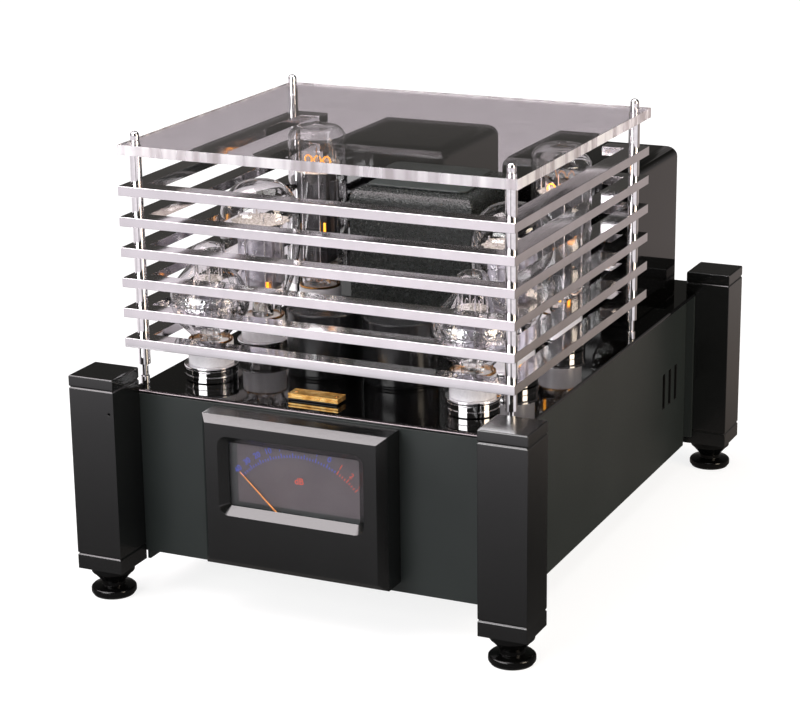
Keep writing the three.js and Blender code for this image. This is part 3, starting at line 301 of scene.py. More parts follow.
@look("mica")
def split_mica(tree, spot):
    # Mica, split and punched: pale flakes with a silky glint
    return noise_coat(tree, spot, 2, 4.0, {"IOR": 1.58}, ("#8a827c", "#b3aaa4"), (0.15, 0.4))


@look("nickel")
def pressed_nickel(tree, spot):
    # Nickel, pressed from sheet: cool grey metal with darker heat marks
    return noise_coat(tree, spot, 9, 4.0, {"Metallic": 0.85}, ("#8b878f", "#bdb8c2"), (0.2, 0.4))


@look("graphite")
def machined_graphite(tree, spot):
    # Graphite, machined: dark grey and dry, with open pores
    return noise_coat(tree, spot, 0.9, 3.0, {"Metallic": 0.3}, ("#29282a", "#3f3d41"), (0.35, 0.55),
                      (0.00004, 0.5))


@look("wire")
def drawn_nickel_wire(tree, spot):
    # Nickel, drawn to wire: bright thin lines
    return noise_coat(tree, spot, 2, 2.0, {"Metallic": 1.0}, ("#d2cfd2", "#f0eef0"), (0.12, 0.25))


@look("filament")
def glowing_tungsten(tree, spot):
    # Tungsten, drawn and heated: an orange thread, yellower where it is hottest
    inputs = noise_coat(tree, spot, 4, 2.0, {"Emission Strength": 2.2}, ("#ff8c1e", "#ffb43a"), (0.4, 0.6))
    return {**inputs, "Emission Color": inputs["Base Color"]}


@look("dial")
def printed_aluminium_dial(tree, spot):
    # Painted aluminium, screen printed: warm grey, a shade uneven
    return noise_coat(tree, spot, 0.8, 2.0, {"IOR": 1.5}, ("#464043", "#524b4e"), (0.4, 0.55),
                      cloud=(70, 2.0))


@look("blue")
def blue_screen_ink(tree, spot):
    # Ink, screen printed: matt blue
    return noise_coat(tree, spot, 0.8, 2.0, {"Roughness": 0.45, "IOR": 1.5}, ("#3446b4", "#4557c6"))


@look("red")
def red_screen_ink(tree, spot):
    # Ink, screen printed: matt orange red
    return noise_coat(tree, spot, 0.8, 2.0, {"Roughness": 0.45, "IOR": 1.5}, ("#c4402a", "#d85338"))


@look("needle")
def needle_enamel(tree, spot):
    # Enamelled aluminium, dipped: light orange
    return noise_coat(tree, spot, 2, 2.0, {"IOR": 1.5}, ("#df8a42", "#eb9c56"), (0.3, 0.4))


@look("sleeve")
def shrunk_vinyl_sleeve(tree, spot):
    # Vinyl, shrunk on by heat: glossy black with a slow ripple
    return noise_coat(tree, spot, 12, 1.0, {"IOR": 1.53}, ("#0c0d0e", "#141516"), (0.16, 0.26),
                      (0.0001, 0.4), stretch=(1.0, 1.0, 0.3))


@look("nylon")
def moulded_nylon(tree, spot):
    # Nylon, moulded in a spark-eroded tool: dull black with a fine even grain
    return noise_coat(tree, spot, 0.7, 2.0, {"IOR": 1.53}, ("#111212", "#1a1b1b"), (0.4, 0.55),
                      (0.00003, 0.5))


@look("red_plastic")
def red_polycarbonate(tree, spot):
    # Polycarbonate, moulded: clean red with a soft shine
    return noise_coat(tree, spot, 6, 2.0, {"IOR": 1.58}, ("#9a1812", "#b0241c"), (0.22, 0.32))


@look("foot")
def turned_anodised_aluminium(tree, spot):
    # Anodised aluminium, turned: black with fine level rings
    return noise_coat(tree, spot, 0.8, 2.0, {"IOR": 1.45}, ("#030303", "#070707"), (0.12, 0.22),
                      (0.00002, 0.4), stretch=(0.05, 0.05, 1.0))


@look("rubber")
def moulded_rubber(tree, spot):
    # Rubber, moulded: matt black with a dry grain
    return noise_coat(tree, spot, 0.8, 3.0, {"IOR": 1.52}, ("#0e0e0e", "#161616"), (0.7, 0.9),
                      (0.00005, 0.5))


# Modelling steps

def only(*pieces):
    """Leaves these pieces selected, with the first one active."""
    bpy.ops.object.select_all(action="DESELECT")
    for piece in pieces:
        piece.select_set(True)
    bpy.context.view_layer.objects.active = pieces[0]


def edit(piece):
    """Opens a piece in edit mode with all of it selected."""
    only(piece)
    bpy.ops.object.mode_set(mode="EDIT")
    bpy.ops.mesh.select_mode(type="VERT")
    bpy.ops.mesh.select_all(action="SELECT")
    return piece


def close(piece):
    """Leaves edit mode with the faces turned outwards."""
    bpy.ops.mesh.select_all(action="SELECT")
    bpy.ops.mesh.normals_make_consistent(inside=False)
    bpy.ops.object.mode_set(mode="OBJECT")
    return piece


def settle(piece, name):
    """Names a piece and puts its place in its mesh."""
    only(piece)
    piece.name = name
    bpy.ops.object.transform_apply(location=True, rotation=True, scale=True)
    return piece


def pick(piece, kind, test):
    """In edit mode, selects only the faces, edges or verts that pass a test."""
    bpy.ops.mesh.select_mode(type=kind.removesuffix("s").upper())
    bpy.ops.mesh.select_all(action="DESELECT")
    shape = bmesh.from_edit_mesh(piece.data)
    for item in getattr(shape, kind):
        if test(item):
            item.select_set(True)
    bmesh.update_edit_mesh(piece.data)


def ease(piece, width, steps=2, angle=SHARP_ANGLE):
    """Rounds the sharp edges by width and shades the piece as a solid of that kind."""
    only(piece)
    if width:
        edge = piece.modifiers.new("edge", "BEVEL")
        edge.width = width
        edge.segments = steps
        edge.limit_method = "ANGLE"
        edge.angle_limit = math.radians(angle)
        bpy.ops.object.modifier_apply(modifier=edge.name)
    bpy.ops.object.shade_smooth_by_angle(angle=math.radians(SHARP_ANGLE))
    weights = piece.modifiers.new("weights", "WEIGHTED_NORMAL")
    weights.keep_sharp = True
    bpy.ops.object.modifier_apply(modifier=weights.name)
    return piece


def opened(node):
    """A merged copy of a CAD solid, open in edit mode."""
    piece = bpy.data.objects.new(f"{node}_finish", NODES[node].data.copy())
    bpy.context.scene.collection.objects.link(piece)
    edit(piece)
    bpy.ops.mesh.remove_doubles(threshold=SAME_SPOT)
    return piece


def solid_of(node, width, steps=2, angle=SHARP_ANGLE):
    """A CAD solid's own shape with its edges rounded."""
    piece = opened(node)
    bpy.ops.mesh.dissolve_limited(angle_limit=math.radians(FLAT_ANGLE))
    bpy.ops.object.mode_set(mode="OBJECT")
    return ease(piece, width, steps, angle)


def box(name, low, high):
    """Box between two corners, left sharp for further shaping."""
    middle = [(a + b) / 2 for a, b in zip(low, high)]
    size = [b - a for a, b in zip(low, high)]
    bpy.ops.mesh.primitive_cube_add(size=1, location=middle, scale=size)
    return settle(bpy.context.object, name)


def extrude(x, y, z):
    """In edit mode, draws out what is selected."""
    bpy.ops.mesh.extrude_region_move(TRANSFORM_OT_translate={"value": (x, y, z)})


def drawn_up(name, outline, x, y, sides):
    """A circle drawn on along an outline of radii and heights, left open in edit mode."""
    radius, height = outline[0]
    bpy.ops.mesh.primitive_circle_add(vertices=sides, radius=radius, location=(x, y, height))
    piece = edit(settle(bpy.context.object, name))
    for next_radius, next_height in outline[1:]:
        extrude(0, 0, next_height - height)
        share = next_radius / radius
        bpy.ops.transform.resize(value=(share, share, 1), center_override=(x, y, next_height))
        if next_radius < SAME_SPOT:
            bpy.ops.mesh.merge(type="CENTER")
        radius, height = next_radius, next_height
    return piece


def turned(name, outline, x, y, width=0.0, sides=ROUND_SIDES):
    """Piece turned about the vertical through x and y."""
    piece = drawn_up(name, outline, x, y, sides)
    bpy.ops.mesh.select_all(action="SELECT")
    if outline[0] == outline[-1]:
        bpy.ops.mesh.remove_doubles(threshold=SAME_SPOT)
    else:
        bpy.ops.mesh.fill_holes(sides=0)
    return ease(close(piece), width)


def copied(piece, name, shift):
    """A copy with its own mesh, moved by shift."""
    only(piece)
    bpy.ops.object.duplicate(linked=False)
    twin = bpy.context.object
    twin.location = shift
    return settle(twin, name)


def joined(name, pieces):
    """Several pieces as one."""
    only(*pieces)
    bpy.ops.object.join()
    return settle(bpy.context.object, name)


def wire(name, points, radius):
    """Round wire along a smooth path through the points."""
    bpy.ops.curve.primitive_bezier_curve_add()
    path = bpy.context.object
    path.data.dimensions = "3D"
    path.data.bevel_depth = radius
    path.data.bevel_resolution = 1
    path.data.resolution_u = 5
    path.data.use_fill_caps = True
    knots = path.data.splines[0].bezier_points
    knots.add(len(points) - len(knots))
    for knot, point in zip(knots, points):
        knot.co = point
        knot.handle_left_type = "AUTO"
        knot.handle_right_type = "AUTO"
    bpy.ops.object.convert(target="MESH")
    return settle(bpy.context.object, name)


def keep(piece, look_name, body, slot, nodes=()):
    """Gives a piece its material and its body and hides the CAD nodes that it stands for; slot is not used.
    """
    piece.data.materials.clear()
    piece.data.materials.append(LOOKS[look_name])
    if look_name in CLEAR_LOOKS:
        piece.visible_shadow = False
    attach(piece, body)
    if nodes:
        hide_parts(*nodes)
    return piece


def paint(piece, look_name, test):
    """A second material on the faces whose middle passes a test."""
    piece.data.materials.append(LOOKS[look_name])
    index = len(piece.data.materials) - 1
    for face in piece.data.polygons:
        if test(face.center, face.normal):
            face.material_index = index


def middle_of(node):
    """Middle of a CAD node's box."""
    low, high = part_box(node)
    return (Vector(low) + Vector(high)) / 2


# Chassis

PANEL_EDGE = 0.0005
SLOT_CLEARANCE = 0.02
PILLAR_EDGE = 0.0015
DECK_EDGE = 0.0002
DECK_CHAMFER = 0.0017
FERRULE_RADIUS = 0.0041
FERRULE_BORE = 0.0023
FERRULE_EDGE = 0.0005
FERRULE_REACH = 0.006
FERRULE_SIDES = 32


def make_panels():
    """Front, rear, side and bottom sheets; the walls of the side sheets' vent slots carry painted shade."""
    for node in ("front_panel", "rear_panel", "side_panel_left", "side_panel_right", "bottom_plate"):
        panel = keep(solid_of(node, PANEL_EDGE), "panel", "chassis", "panel", [node])
        if "side" in node:
            low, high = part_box(node)
            # Painted shade: the vent slots' walls turn near black, as the dark inside of the chassis shows
            # through
            paint(panel, "punched", lambda spot, normal: abs(normal.x) < FACING and (
                abs(spot.y) < high[1] - SLOT_CLEARANCE
                and low[2] + SLOT_CLEARANCE < spot.z < high[2] - SLOT_CLEARANCE))


def make_pillars():
    for corner in CORNERS:
        node = f"pillar_{corner}"
        keep(solid_of(node, PILLAR_EDGE, 3, LOW_ANGLE), "pillar", "chassis", "pillar", [node])


def post_place(corner):
    """Where a cage post stands on the deck."""
    middle = middle_of(f"cage_post_{corner}")
    return middle.x, middle.y


def at_posts(piece, name):
    """Each corner with its copy of a piece made for the first corner, the piece itself last."""
    first_x, first_y = post_place(CORNERS[0])
    for corner in CORNERS[1:]:
        x, y = post_place(corner)
        yield corner, copied(piece, name.format(corner), (x - first_x, y - first_y, 0))
    yield CORNERS[0], piece


def make_deck():
    """Deck plate with its ferrules as separate turned rings; returns the height of its top."""
    heights = sorted({round(v.co.z, 6) for v in NODES["deck_plate"].data.vertices})
    top, ferrule_top = heights[1], heights[-1]
    plate = opened("deck_plate")
    pick(plate, "verts", lambda vert: vert.co.z > top + SAME_SPOT)
    bpy.ops.mesh.delete(type="VERT")
    for corner in CORNERS:
        place = post_place(corner)
        pick(plate, "edges", lambda edge: edge.is_boundary and (
            math.dist(edge.verts[0].co.xy, place) < FERRULE_REACH))
        bpy.ops.mesh.bridge_edge_loops()
    bpy.ops.mesh.select_all(action="SELECT")
    bpy.ops.mesh.dissolve_limited(angle_limit=math.radians(FLAT_ANGLE))
    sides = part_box("deck_plate")
    pick(plate, "edges", lambda edge: all(abs(vert.co.z - top) < SAME_SPOT for vert in edge.verts) and any(
        all(abs(vert.co[axis] - side[axis]) < SAME_SPOT for vert in edge.verts)
        for side in sides for axis in (0, 1)))
    bpy.ops.mesh.bevel(offset=DECK_CHAMFER, segments=1)
    close(plate)
    keep(ease(plate, DECK_EDGE), "lacquer", "chassis", "deck", ["deck_plate"])
    # Partly painted highlight: bright metal on the front chamfer only, where the light catches the edge
    paint(plate, "cut_edge_and_highlight", lambda middle, normal: middle.y < sides[0][1] + DECK_CHAMFER and (
        LEANING < normal.z < FACING and normal.y < -LEANING))
    outline = [
        (FERRULE_BORE, top), (FERRULE_RADIUS, top), (FERRULE_RADIUS, ferrule_top),
        (FERRULE_BORE, ferrule_top), (FERRULE_BORE, top),
    ]
    ferrule = turned("ferrule_front_left", outline, *post_place(CORNERS[0]), FERRULE_EDGE, FERRULE_SIDES)
    for _, ring in at_posts(ferrule, "ferrule_{}"):
        keep(ring, "chrome", "chassis", "post", ["deck_plate"])
    return top


SOLE_HEIGHT = 0.0018
CUP_HEIGHT = 0.007
CUP_SHOULDER_SHARE = 0.92
CUP_SHOULDER_RISE = 0.0016
FOOT_NECK_RISE = 0.0026
FOOT_CONE_LOW = 0.0135
FOOT_CONE_SHARE = 0.9
FOOT_DISC_LOW = 0.0215
FOOT_DISC_ROUND = 0.0015
FOOT_EDGE = 0.0009
FOOT_NECK_SHARE = 0.52
FOOT_DISC_SHARE = 0.952
FOOT_STUD_SHARE = 0.19


def make_feet():
    """Turned feet: a rubber sole in a cup, a neck that opens as a cone, and a disc under the pillar."""
    disc_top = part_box("pillar_front_left")[0][2] - GAP
    low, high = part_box("foot_front_left")
    start = middle_of("foot_front_left")
    pad = (high[0] - low[0]) / 2
    neck, disc, stud = (pad * share for share in (FOOT_NECK_SHARE, FOOT_DISC_SHARE, FOOT_STUD_SHARE))
    outline = [
        (pad - FOOT_EDGE, SOLE_HEIGHT), (pad, SOLE_HEIGHT + FOOT_EDGE), (pad, CUP_HEIGHT),
        (pad * CUP_SHOULDER_SHARE, CUP_HEIGHT + CUP_SHOULDER_RISE), (neck, CUP_HEIGHT + FOOT_NECK_RISE),
        (neck, FOOT_CONE_LOW), (disc * FOOT_CONE_SHARE, FOOT_DISC_LOW),
        (disc, FOOT_DISC_LOW + FOOT_DISC_ROUND), (disc, disc_top), (stud, disc_top), (stud, high[2]),
    ]
    cup = turned("foot_front_left_cup", outline, start.x, start.y, FOOT_EDGE)
    inset = pad - FOOT_EDGE * 2
    sole = turned("foot_front_left_sole", [(inset, 0), (inset, SOLE_HEIGHT)], start.x, start.y, FOOT_EDGE / 2)
    for corner in CORNERS:
        node = f"foot_{corner}"
        shift = middle_of(node) - start
        for part, name, finish in ((cup, "cup", "foot"), (sole, "sole", "rubber")):
            own = part if corner == CORNERS[0] else copied(part, f"{node}_{name}", (shift.x, shift.y, 0))
            keep(own, finish, node, "foot", [node])


# Level meter

BEZEL_EDGE = 0.0005
SHEET_EDGE = 0.0002
NEEDLE_EDGE = 0.0001
DIAL_NUMBERS = ("40", "30", "20", "10", "7", "5", "3", "1", "0", "1", "2", "3")
DIAL_FIRST_RED = 9
DIAL_DARK_STRIP_SIDE = 0.0155
DIAL_DARK_STRIP_LOW = 0.0343
NUMBER_SIZE = 0.0074
NUMBER_ARC = 0.0832
TICK_ARC = 0.0748
TICK_LENGTH = 0.0042
TICK_WIDTH = 0.0007
FINE_TICKS = 4
FINE_TICK_SHARE = 0.55
SCALE_SWEEP = math.radians(94)
INK_THICKNESS = 0.00006
UNIT_SIZE = 0.0085
UNIT_RISE = 0.053


def needle_pivot():
    """Axis of the needle's hinge."""
    return next(Vector(joint["pos_m"]) for joint in frame["joints"] if joint["name"] == "needle_swing")


def on_dial(piece, name, pivot, face, angle, distance):
    """Stands a flat print on the dial, at an angle from upright and a distance from the pivot."""
    only(piece)
    x = pivot.x + distance * math.sin(angle)
    z = pivot.z + distance * math.cos(angle)
    upright = Matrix.Rotation(math.radians(90), 4, "X")
    piece.matrix_world = Matrix.Translation((x, face, z)) @ Matrix.Rotation(angle, 4, "Y") @ upright
    return settle(piece, name)


def print_text(name, text, size, pivot, face, angle, distance):
    """A printed figure on the dial."""
    bpy.ops.object.text_add()
    figure = bpy.context.object
    figure.data.body = text
    figure.data.size = size
    figure.data.align_x = "CENTER"
    figure.data.align_y = "CENTER"
    figure.data.extrude = INK_THICKNESS / 2
    bpy.ops.object.convert(target="MESH")
    return on_dial(bpy.context.object, name, pivot, face, angle, distance)


def make_dial():
    """Dial plate, darker in a strip along its left and bottom edges, and its printed scale, figures and unit.
    """
    dial = solid_of("meter_dial", SHEET_EDGE)
    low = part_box("meter_dial")[0]
    dark_strip_x, dark_strip_z = low[0] + DIAL_DARK_STRIP_SIDE, low[2] + DIAL_DARK_STRIP_LOW
    edit(dial)
    for place, way in (((dark_strip_x, 0, 0), (1, 0, 0)), ((0, 0, dark_strip_z), (0, 0, 1))):
        bpy.ops.mesh.select_all(action="SELECT")
        bpy.ops.mesh.bisect(plane_co=place, plane_no=way)
    close(dial)
    keep(dial, "dial", "chassis", "dial", ["meter_dial"])
    # The strip along the dial's left and bottom edges takes the dark panel finish
    paint(dial, "panel", lambda middle, normal: middle.x < dark_strip_x or middle.z < dark_strip_z)
    face = low[1] - INK_THICKNESS
    pivot = needle_pivot()
    marks = {"blue": [], "red": []}
    last = len(DIAL_NUMBERS) - 1
    for i, text in enumerate(DIAL_NUMBERS):
        ink = "red" if i >= DIAL_FIRST_RED else "blue"
        angle = SCALE_SWEEP * (i / last - 0.5)
        marks[ink].append(print_text(f"figure_{i}", text, NUMBER_SIZE, pivot, face, angle, NUMBER_ARC))
        for j in range(FINE_TICKS if i < last else 1):
            length = TICK_LENGTH * (FINE_TICK_SHARE if j else 1)
            half = (TICK_WIDTH / 2, length / 2, INK_THICKNESS / 2)
            tick = box("tick", [-size for size in half], half)
            step = angle + SCALE_SWEEP * j / FINE_TICKS / last
            marks[ink].append(on_dial(tick, "tick", pivot, face, step, TICK_ARC + length / 2))
    marks["red"].append(print_text("dial_unit", "dB", UNIT_SIZE, pivot, face, 0, UNIT_RISE))
    for ink, pieces in marks.items():
        keep(joined(f"dial_print_{ink}", pieces), ink, "chassis", "dial")


def make_meter():
    keep(solid_of("meter_bezel", BEZEL_EDGE, 2, LOW_ANGLE), "bezel", "chassis", "bezel", ["meter_bezel"])
    keep(solid_of("meter_glass", SHEET_EDGE), "window", "chassis", "meter_glass", ["meter_glass"])
    keep(solid_of("meter_needle", NEEDLE_EDGE), "needle", "needle", "needle", ["meter_needle"])
    make_dial()


# Brass plate

PEDESTAL_SHARE = 0.28
PEDESTAL_INSET = 0.0015
PLATE_STEP = 0.001
PLATE_GROOVE = 0.0007
PLATE_BORDER_WIDTH = 0.0008
PLATE_FIELD_DROP = 0.0005
PLATE_EDGE = 0.0005
SCREW_RADIUS = 0.0017
SCREW_INSET = 0.0048
SCREW_SIDES = 20
SCREW_EDGE = 0.0001
SCREW_RIM = 0.0004
SCREW_CROWN_SHARE = 0.7
SCREW_SOCKET_SHARE = 0.25
SCREW_SOCKET_DEPTH = 0.0003


def make_plate():
    """Brass plate of two sheets with a groove between and a sunk field, on a black pedestal."""
    low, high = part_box("brass_plate")
    split = low[2] + (high[2] - low[2]) * PEDESTAL_SHARE
    inset = PEDESTAL_INSET
    stand = box("plate_pedestal", (low[0] + inset, low[1] + inset, low[2]),
                (high[0] - inset, high[1] - inset, split))
    keep(ease(stand, PLATE_EDGE), "lacquer", "chassis", "brass_plate", ["brass_plate"])
    top = high[2] - GAP
    first = (split + top - PLATE_GROOVE) / 2
    sheet = box("plate_sheet", (low[0], low[1], split), (high[0], high[1], first))
    centre = ((low[0] + high[0]) / 2, (low[1] + high[1]) / 2, first)
    regrow = [(high[i] - low[i]) / (high[i] - low[i] - PLATE_STEP * 2) for i in (0, 1)]
    edit(sheet)
    pick(sheet, "faces", lambda face: face.normal.z > FACING)
    bpy.ops.mesh.inset(thickness=PLATE_STEP)
    extrude(0, 0, PLATE_GROOVE)
    extrude(0, 0, 0)
    bpy.ops.transform.resize(value=(*regrow, 1), center_override=centre)
    extrude(0, 0, top - first - PLATE_GROOVE)
    bpy.ops.mesh.inset(thickness=PLATE_BORDER_WIDTH)
    bpy.ops.transform.translate(value=(0, 0, -PLATE_FIELD_DROP))
    close(sheet)
    keep(ease(sheet, PLATE_EDGE / 2), "brass", "chassis", "brass_plate", ["brass_plate"])
    field = top - PLATE_FIELD_DROP
    outline = [(SCREW_RADIUS, field), (SCREW_RADIUS, field + SCREW_RIM),
               (SCREW_RADIUS * SCREW_CROWN_SHARE, top + GAP / 2)]
    for side, x in (("left", low[0] + SCREW_INSET), ("right", high[0] - SCREW_INSET)):
        screw = turned(f"plate_screw_{side}", outline, x, centre[1], SCREW_EDGE, SCREW_SIDES)
        edit(screw)
        pick(screw, "faces", lambda face: face.normal.z > FACING)
        bpy.ops.mesh.inset(thickness=SCREW_RADIUS * SCREW_SOCKET_SHARE)
        bpy.ops.transform.translate(value=(0, 0, -SCREW_SOCKET_DEPTH))
        close(screw)
        keep(screw, "gold", "chassis", "brass_plate")


# Cage

RAIL_COUNT = 6
RAIL_EDGE = 0.00035
ROOF_EDGE = 0.0004
POST_EDGE = 0.0003
POST_SIDES = 40
POST_NECK_SHARE = 0.565
POST_PIN_SHARE = 0.37
POST_NECK_HEIGHT = 0.011
NUT_SHARE = 0.833
NUT_WAIST_SHARE = 0.74
NUT_WAIST_HEIGHT = 0.001
DOME_SHARE = 0.95
DOME_STEPS = 8
COLLAR_HEIGHT = 0.0018


def make_rails():
    for level in range(1, RAIL_COUNT + 1):
        node = f"cage_rail_{level}"
        keep(solid_of(node, RAIL_EDGE), "bar", "cage", "rail", [node])


def make_posts():
    """Turned posts: a pin in the ferrule, a neck, the rod, a collar on the roof and a domed nut."""
    low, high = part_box(f"cage_post_{CORNERS[0]}")
    radius = (high[0] - low[0]) / 2
    roof_low, roof_top = (corner[2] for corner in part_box("roof_plate"))
    ferrule_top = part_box("deck_plate")[1][2] + GAP
    rod_low = ferrule_top + POST_NECK_HEIGHT
    neck, pin, nut = (radius * share for share in (POST_NECK_SHARE, POST_PIN_SHARE, NUT_SHARE))
    waist, dome = nut * NUT_WAIST_SHARE, nut * DOME_SHARE
    collar_top = roof_top + COLLAR_HEIGHT
    waist_top = collar_top + NUT_WAIST_HEIGHT
    straight = high[2] - dome
    outline = [
        (pin, low[2]), (pin, ferrule_top), (neck, ferrule_top), (neck, rod_low), (radius, rod_low),
        (radius, roof_low - GAP), (nut, roof_low - GAP), (nut, collar_top), (waist, collar_top),
        (waist, waist_top), (dome, waist_top), (dome, straight),
    ]
    for i in range(1, DOME_STEPS + 1):
        angle = math.pi / 2 * i / DOME_STEPS
        reach = 0.0 if i == DOME_STEPS else math.cos(angle)
        outline.append((dome * reach, straight + (high[2] - straight) * math.sin(angle)))
    name = "cage_post_{}_turned"
    post = turned(name.format(CORNERS[0]), outline, *post_place(CORNERS[0]), POST_EDGE, POST_SIDES)
    for corner, own in at_posts(post, name):
        keep(own, "chrome", "cage", "post", [f"cage_post_{corner}"])


def make_roof():
    """Clear sheet whose sawn edges are milky."""
    low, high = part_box("roof_plate")
    sheet = keep(solid_of("roof_plate", ROOF_EDGE), "acrylic", "roof", "roof", ["roof_plate"])
    paint(sheet, "acrylic_edge", lambda spot, normal: abs(normal.z) < FACING and min(
        spot.x - low[0], high[0] - spot.x, spot.y - low[1], high[1] - spot.y) < ROOF_EDGE * 2)


# Transformers and capacitors

CASE_ROUND = 0.012
CASE_STEPS = 8
CASE_EDGE = 0.0006
LID_EDGE = 0.0006


def rounded_case(name, node):
    """Case with rounded top edges, standing on the deck."""
    low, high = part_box(node)
    case = box(name, low, high)
    edit(case)
    pick(case, "edges", lambda edge: all(vert.co.z > high[2] - SAME_SPOT for vert in edge.verts))
    bpy.ops.mesh.bevel(offset=CASE_ROUND, segments=CASE_STEPS, affect="EDGES")
    return ease(close(case), CASE_EDGE, 2, STEEP_ANGLE)


def make_transformers():
    case = rounded_case("power_case", "power_transformer")
    keep(case, "wrinkle", "chassis", "crinkle", ["power_transformer"])
    lid = solid_of("power_transformer_lid", LID_EDGE, 3)
    keep(lid, "panel", "chassis", "gloss_cover", ["power_transformer_lid"])
    for side in SIDES:
        node = f"output_transformer_{side}"
        keep(rounded_case(f"{node}_cover", node), "lacquer", "chassis", "gloss_cover", [node])


CAN_SIDES = 64
CAN_EDGE = 0.0004
CAN_RIM = 0.0034
CAN_RIM_DROP = 0.0018
CAN_RIM_SLOPE = 0.001
CAN_ROUND = (0.0012, 0.0015)
CAN_FOOT = 0.002
CAN_FOOT_SHARE = 0.98
CAN_FOOT_SLOPE = 0.0008
VENT_SHARES = (0.22, 0.2)
VENT_RISE = 0.0008


def make_capacitors():
    """Sleeved cans with a rolled rim round a sunk top and a raised vent in its middle."""
    low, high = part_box("capacitor_left")
    start = middle_of("capacitor_left")
    radius = (high[0] - low[0]) / 2
    foot, vent, vent_top = (radius * share for share in (CAN_FOOT_SHARE, *VENT_SHARES))
    bottom, top = low[2], high[2]
    sunk = top - CAN_RIM_DROP
    outline = [
        (foot, bottom), (foot, bottom + CAN_FOOT), (radius, bottom + CAN_FOOT + CAN_FOOT_SLOPE),
        (radius, top - CAN_ROUND[1]), (radius - CAN_ROUND[0], top), (radius - CAN_RIM, top),
        (radius - CAN_RIM - CAN_RIM_SLOPE, sunk), (vent, sunk), (vent_top, sunk + VENT_RISE),
    ]
    can = turned("capacitor_left_can", outline, start.x, start.y, CAN_EDGE, CAN_SIDES)
    shift = middle_of("capacitor_right") - start
    other = copied(can, "capacitor_right_can", (shift.x, shift.y, 0))
    keep(can, "sleeve", "chassis", "can", ["capacitor_left"])
    keep(other, "sleeve", "chassis", "can", ["capacitor_right"])


# Tubes and their sockets

PIN_COUNT = 4
PIN_SIDES = 16
PIN_RADIUS = 0.0016
PIN_TIP = 0.0012
PIN_TIP_SHARE = 0.5
PIN_CIRCLE = 0.010
SOCKET_RINGS = 2
SOCKET_BORE_SHARE = 0.77
RING_LIP_SHARE = 0.92
RING_BAND_SHARE = 0.95
RING_SLOPE_SHARE = 0.08
RING_EDGE = 0.0002
BODY_EDGE = 0.0007
COLLAR_EDGE = 0.0004
FLANGE_SHARE = 0.93
FLANGE_HEIGHT = 0.0025
SHELL_SHARE = 0.778
COLLAR_SHARES = (0.69, 0.765)
COLLAR_RISE = 0.0022
BULB_SIDES = 56
BULB_STEPS = 5
GLASS_WALL = 0.0011
GETTER_GAP = 0.0014
GETTER_THICKNESS = 0.0002
ROD_RADIUS = 0.0008
WIRE_RADIUS = 0.0005
FILAMENT_RADIUS = 0.0008
GLOW_RADIUS = 0.0013

# Bulb outlines: radius and height as shares of the bulb's own
BULB_SHARES = {
    "front": ((0.486, 0), (0.486, 0.06), (0.74, 0.17), (0.92, 0.26), (1, 0.385), (0.95, 0.5),
              (0.8, 0.62), (0.56, 0.73), (0.45, 0.8), (0.42, 0.89), (0.3, 0.965), (0, 1)),
    "middle": ((0.4615, 0), (0.4615, 0.06), (0.6, 0.15), (0.76, 0.26), (0.9, 0.4), (0.98, 0.55),
               (1, 0.69), (0.93, 0.81), (0.76, 0.91), (0.45, 0.98), (0, 1)),
    "rear": ((0.6207, 0), (0.6207, 0.05), (0.86, 0.09), (0.98, 0.13), (1, 0.18), (1, 0.5), (1, 0.86),
             (0.93, 0.93), (0.7, 0.968), (0.22, 0.98), (0.15, 0.992), (0, 1)),
}

# Electrodes: sizes in metres, heights above the top of the base
TUBE_PLANS = {
    "front": {
        "anode": "nickel", "width": 0.024, "depth": 0.014, "foot": 0.021, "tall": 0.036, "ribs": 3,
        "mica": 0.016, "top_mica": 0.014, "rod_top": 0.024, "getter": (3, 6),
        "glows": (),
    },
    "middle": {
        "anode": "nickel", "width": 0.040, "depth": 0.020, "foot": 0.030, "tall": 0.062, "ribs": 5,
        "mica": 0.019, "top_mica": 0.028, "rod_top": 0.008, "getter": (),
        "glows": ((0.62, -0.004, 0.007),),
    },
    "rear": {
        "anode": "graphite", "width": 0.036, "depth": 0.026, "foot": 0.026, "tall": 0.090, "ribs": 4,
        "mica": 0.022, "top_mica": 0.0225, "rod_top": 0.014, "getter": (),
        "glows": ((-0.5, -0.012, -0.002), (0.3, -0.012, 0.0), (0.8, 0.03, 0.042)),
    },
}


def smooth_path(points):
    """Smooth curve through flat points."""
    path = []
    padded = [Vector(p) for p in (points[0], *points, points[-1])]
    for a, b, c, d in zip(padded, padded[1:], padded[2:], padded[3:]):
        for i in range(BULB_STEPS):
            t = i / BULB_STEPS
            spot = b * 2 + (c - a) * t + (a * 2 - b * 5 + c * 4 - d) * t ** 2
            spot += (b * 3 - a - c * 3 + d) * t ** 3
            path.append(spot / 2)
    path.append(padded[-1])
    return path


def bulb_outline(kind, low, high, radius):
    """Radii and heights along a bulb, no wider or taller than the solid it stands for."""
    height = high - low
    path = smooth_path([(share * radius, low + rise * height) for share, rise in BULB_SHARES[kind]])
    return [(min(max(spot.x, 0.0), radius), min(spot.y, high)) for spot in path]


def make_shell(name, outline, x, y, wall):
    """Thin round shell with a wall, open at its neck."""
    piece = close(drawn_up(name, outline, x, y, BULB_SIDES))
    shell = piece.modifiers.new("wall", "SOLIDIFY")
    shell.thickness = wall
    shell.offset = -1
    only(piece)
    bpy.ops.object.modifier_apply(modifier=shell.name)
    bpy.ops.object.shade_smooth_by_angle(angle=math.radians(STEEP_ANGLE))
    return piece


